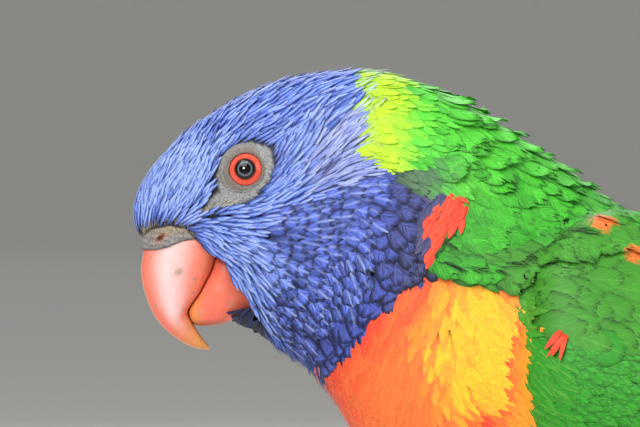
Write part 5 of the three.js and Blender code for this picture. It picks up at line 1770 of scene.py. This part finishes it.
foot_material = skin_material("foot_scales", 1000.0, 0.6, 1.0)
claw_material, claw_shader = plain_material("claw_horn", (52, 49, 47), 0.38)
claw_tree = claw_material.node_tree
claw_noise = noise_node(claw_tree, object_place(claw_tree), 900.0)
claw_tone = mixed(claw_tree, claw_noise, linear((30, 28, 27)), linear((88, 82, 76)))
wire(claw_tree, claw_tone, claw_shader.inputs["Base Color"])
bump_node(claw_tree, claw_shader, claw_noise, 0.4, 0.0001)
for sign, word in ((1, "left"), (-1, "right")):
    bend = (ANKLE + KNUCKLE) / 2 - [0, 0, TARSUS_BOW]
    shank = tube_rings([ANKLE + (ANKLE - bend) * 0.2, bend, KNUCKLE], TARSUS_RADII, 60, 32)
    foot = mesh_piece(f"foot_skin_{word}", *closed_loft(shank))
    merge_and_point_out(foot)
    for name, turn, length in TOES:
        way = toe_way(turn)
        path = np.array([KNUCKLE + way * length * t for t in (0, 1 / 3, 2 / 3, 1)])
        path[:, 2] = FLOOR_LEVEL + TOE_RADIUS * TOE_RISES
        t = np.linspace(0, 1, 70)
        swell = 1.04 - 0.22 * t + 0.11 * np.cos(2 * np.pi * round(length / KNUCKLE_APART) * t)
        radius = TOE_RADIUS * swell * np.clip((1.02 - t) / 0.06, 0.5, 1) ** 0.5
        toe = mesh_piece("toe", *closed_loft(tube_rings(path, radius, 70, 28)))
        merge_and_point_out(toe)
        pick(foot)
        toe.select_set(True)
        bpy.ops.object.join()
        start = KNUCKLE + way * (length - 0.2)
        start[2] = FLOOR_LEVEL + TOE_RADIUS * TOE_RISES[-1]
        claw_path = np.array([start + way * (CLAW_LENGTH + 0.4) * t for t in (0, 0.4, 0.75, 1)])
        claw_path[:, 2] += CLAW_ARCH
        s = np.linspace(0, 1, 40)
        claw_rings = tube_rings(claw_path, CLAW_RADIUS * (1 - s) ** 0.75 + 0.06, 40, 24)
        claw_points, claw_faces = closed_loft(claw_rings)
        claw = mesh_piece(f"claw_{name}_{word}_horn", claw_points * [sign, 1, 1], claw_faces)
        merge_and_point_out(claw)
        claw.data.materials.append(claw_material)
        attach(claw, "root")
        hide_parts(f"claw_{name}_{word}")
    apply_modifier(foot, "REMESH", mode="VOXEL", voxel_size=0.00022)
    apply_modifier(foot, "SMOOTH", factor=0.5, iterations=3)
    foot_at = points_of(foot) * [sign, 1, 1]
    foot_at[:, 2] = np.maximum(foot_at[:, 2], FLOOR_LEVEL + 0.02)
    foot.data.vertices.foreach_set("co", metres(foot_at).ravel())
    set_colours(foot, "tone", even_tone(foot_at, (122, 117, 112))["tone"])
    merge_and_point_out(foot)
    set_finish(foot, foot_material)
    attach(foot, "root")
    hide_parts(f"foot_{word}")
    side_points = thigh_points * [sign, 1, 1]
    thigh_bed = BVHTree.FromPolygons(side_points.tolist(), thigh_faces[:, ::sign].tolist())
    count = THIGH_FEATHERS
    root_row = (2 + rng.random(count) ** 0.8 * 25).astype(int)
    root_point = root_row * THIGH_COLUMNS + rng.integers(0, THIGH_COLUMNS, count)
    vanes = lay_feathers(
        side_points[root_point], unit(np.tile([0.0, 0.12, -1.0], (count, 1))),
        7.0 * (0.8 + 0.4 * rng.random(count)), np.full(count, 1.5), np.full(count, 1.1),
        np.zeros(count), BROAD_SHARES, ROUND, 0.14, 5, thigh_bed,
        (rng.random(count) - 0.5) * 0.5, 0.1, 0.3,
    )
    tone = (linear((96, 168, 40)) * (0.6 + 0.7 * rng.random((count, 1))))[:, None, None, :]
    piece = feather_piece(f"thigh_feathers_{word}", vanes, tone, rng.random(count),
                          np.column_stack([np.full(count, 0.7), rng.random(count)]), np.full(count, 0.2))
    piece.data.materials.append(flank_material)
    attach(piece, "root")
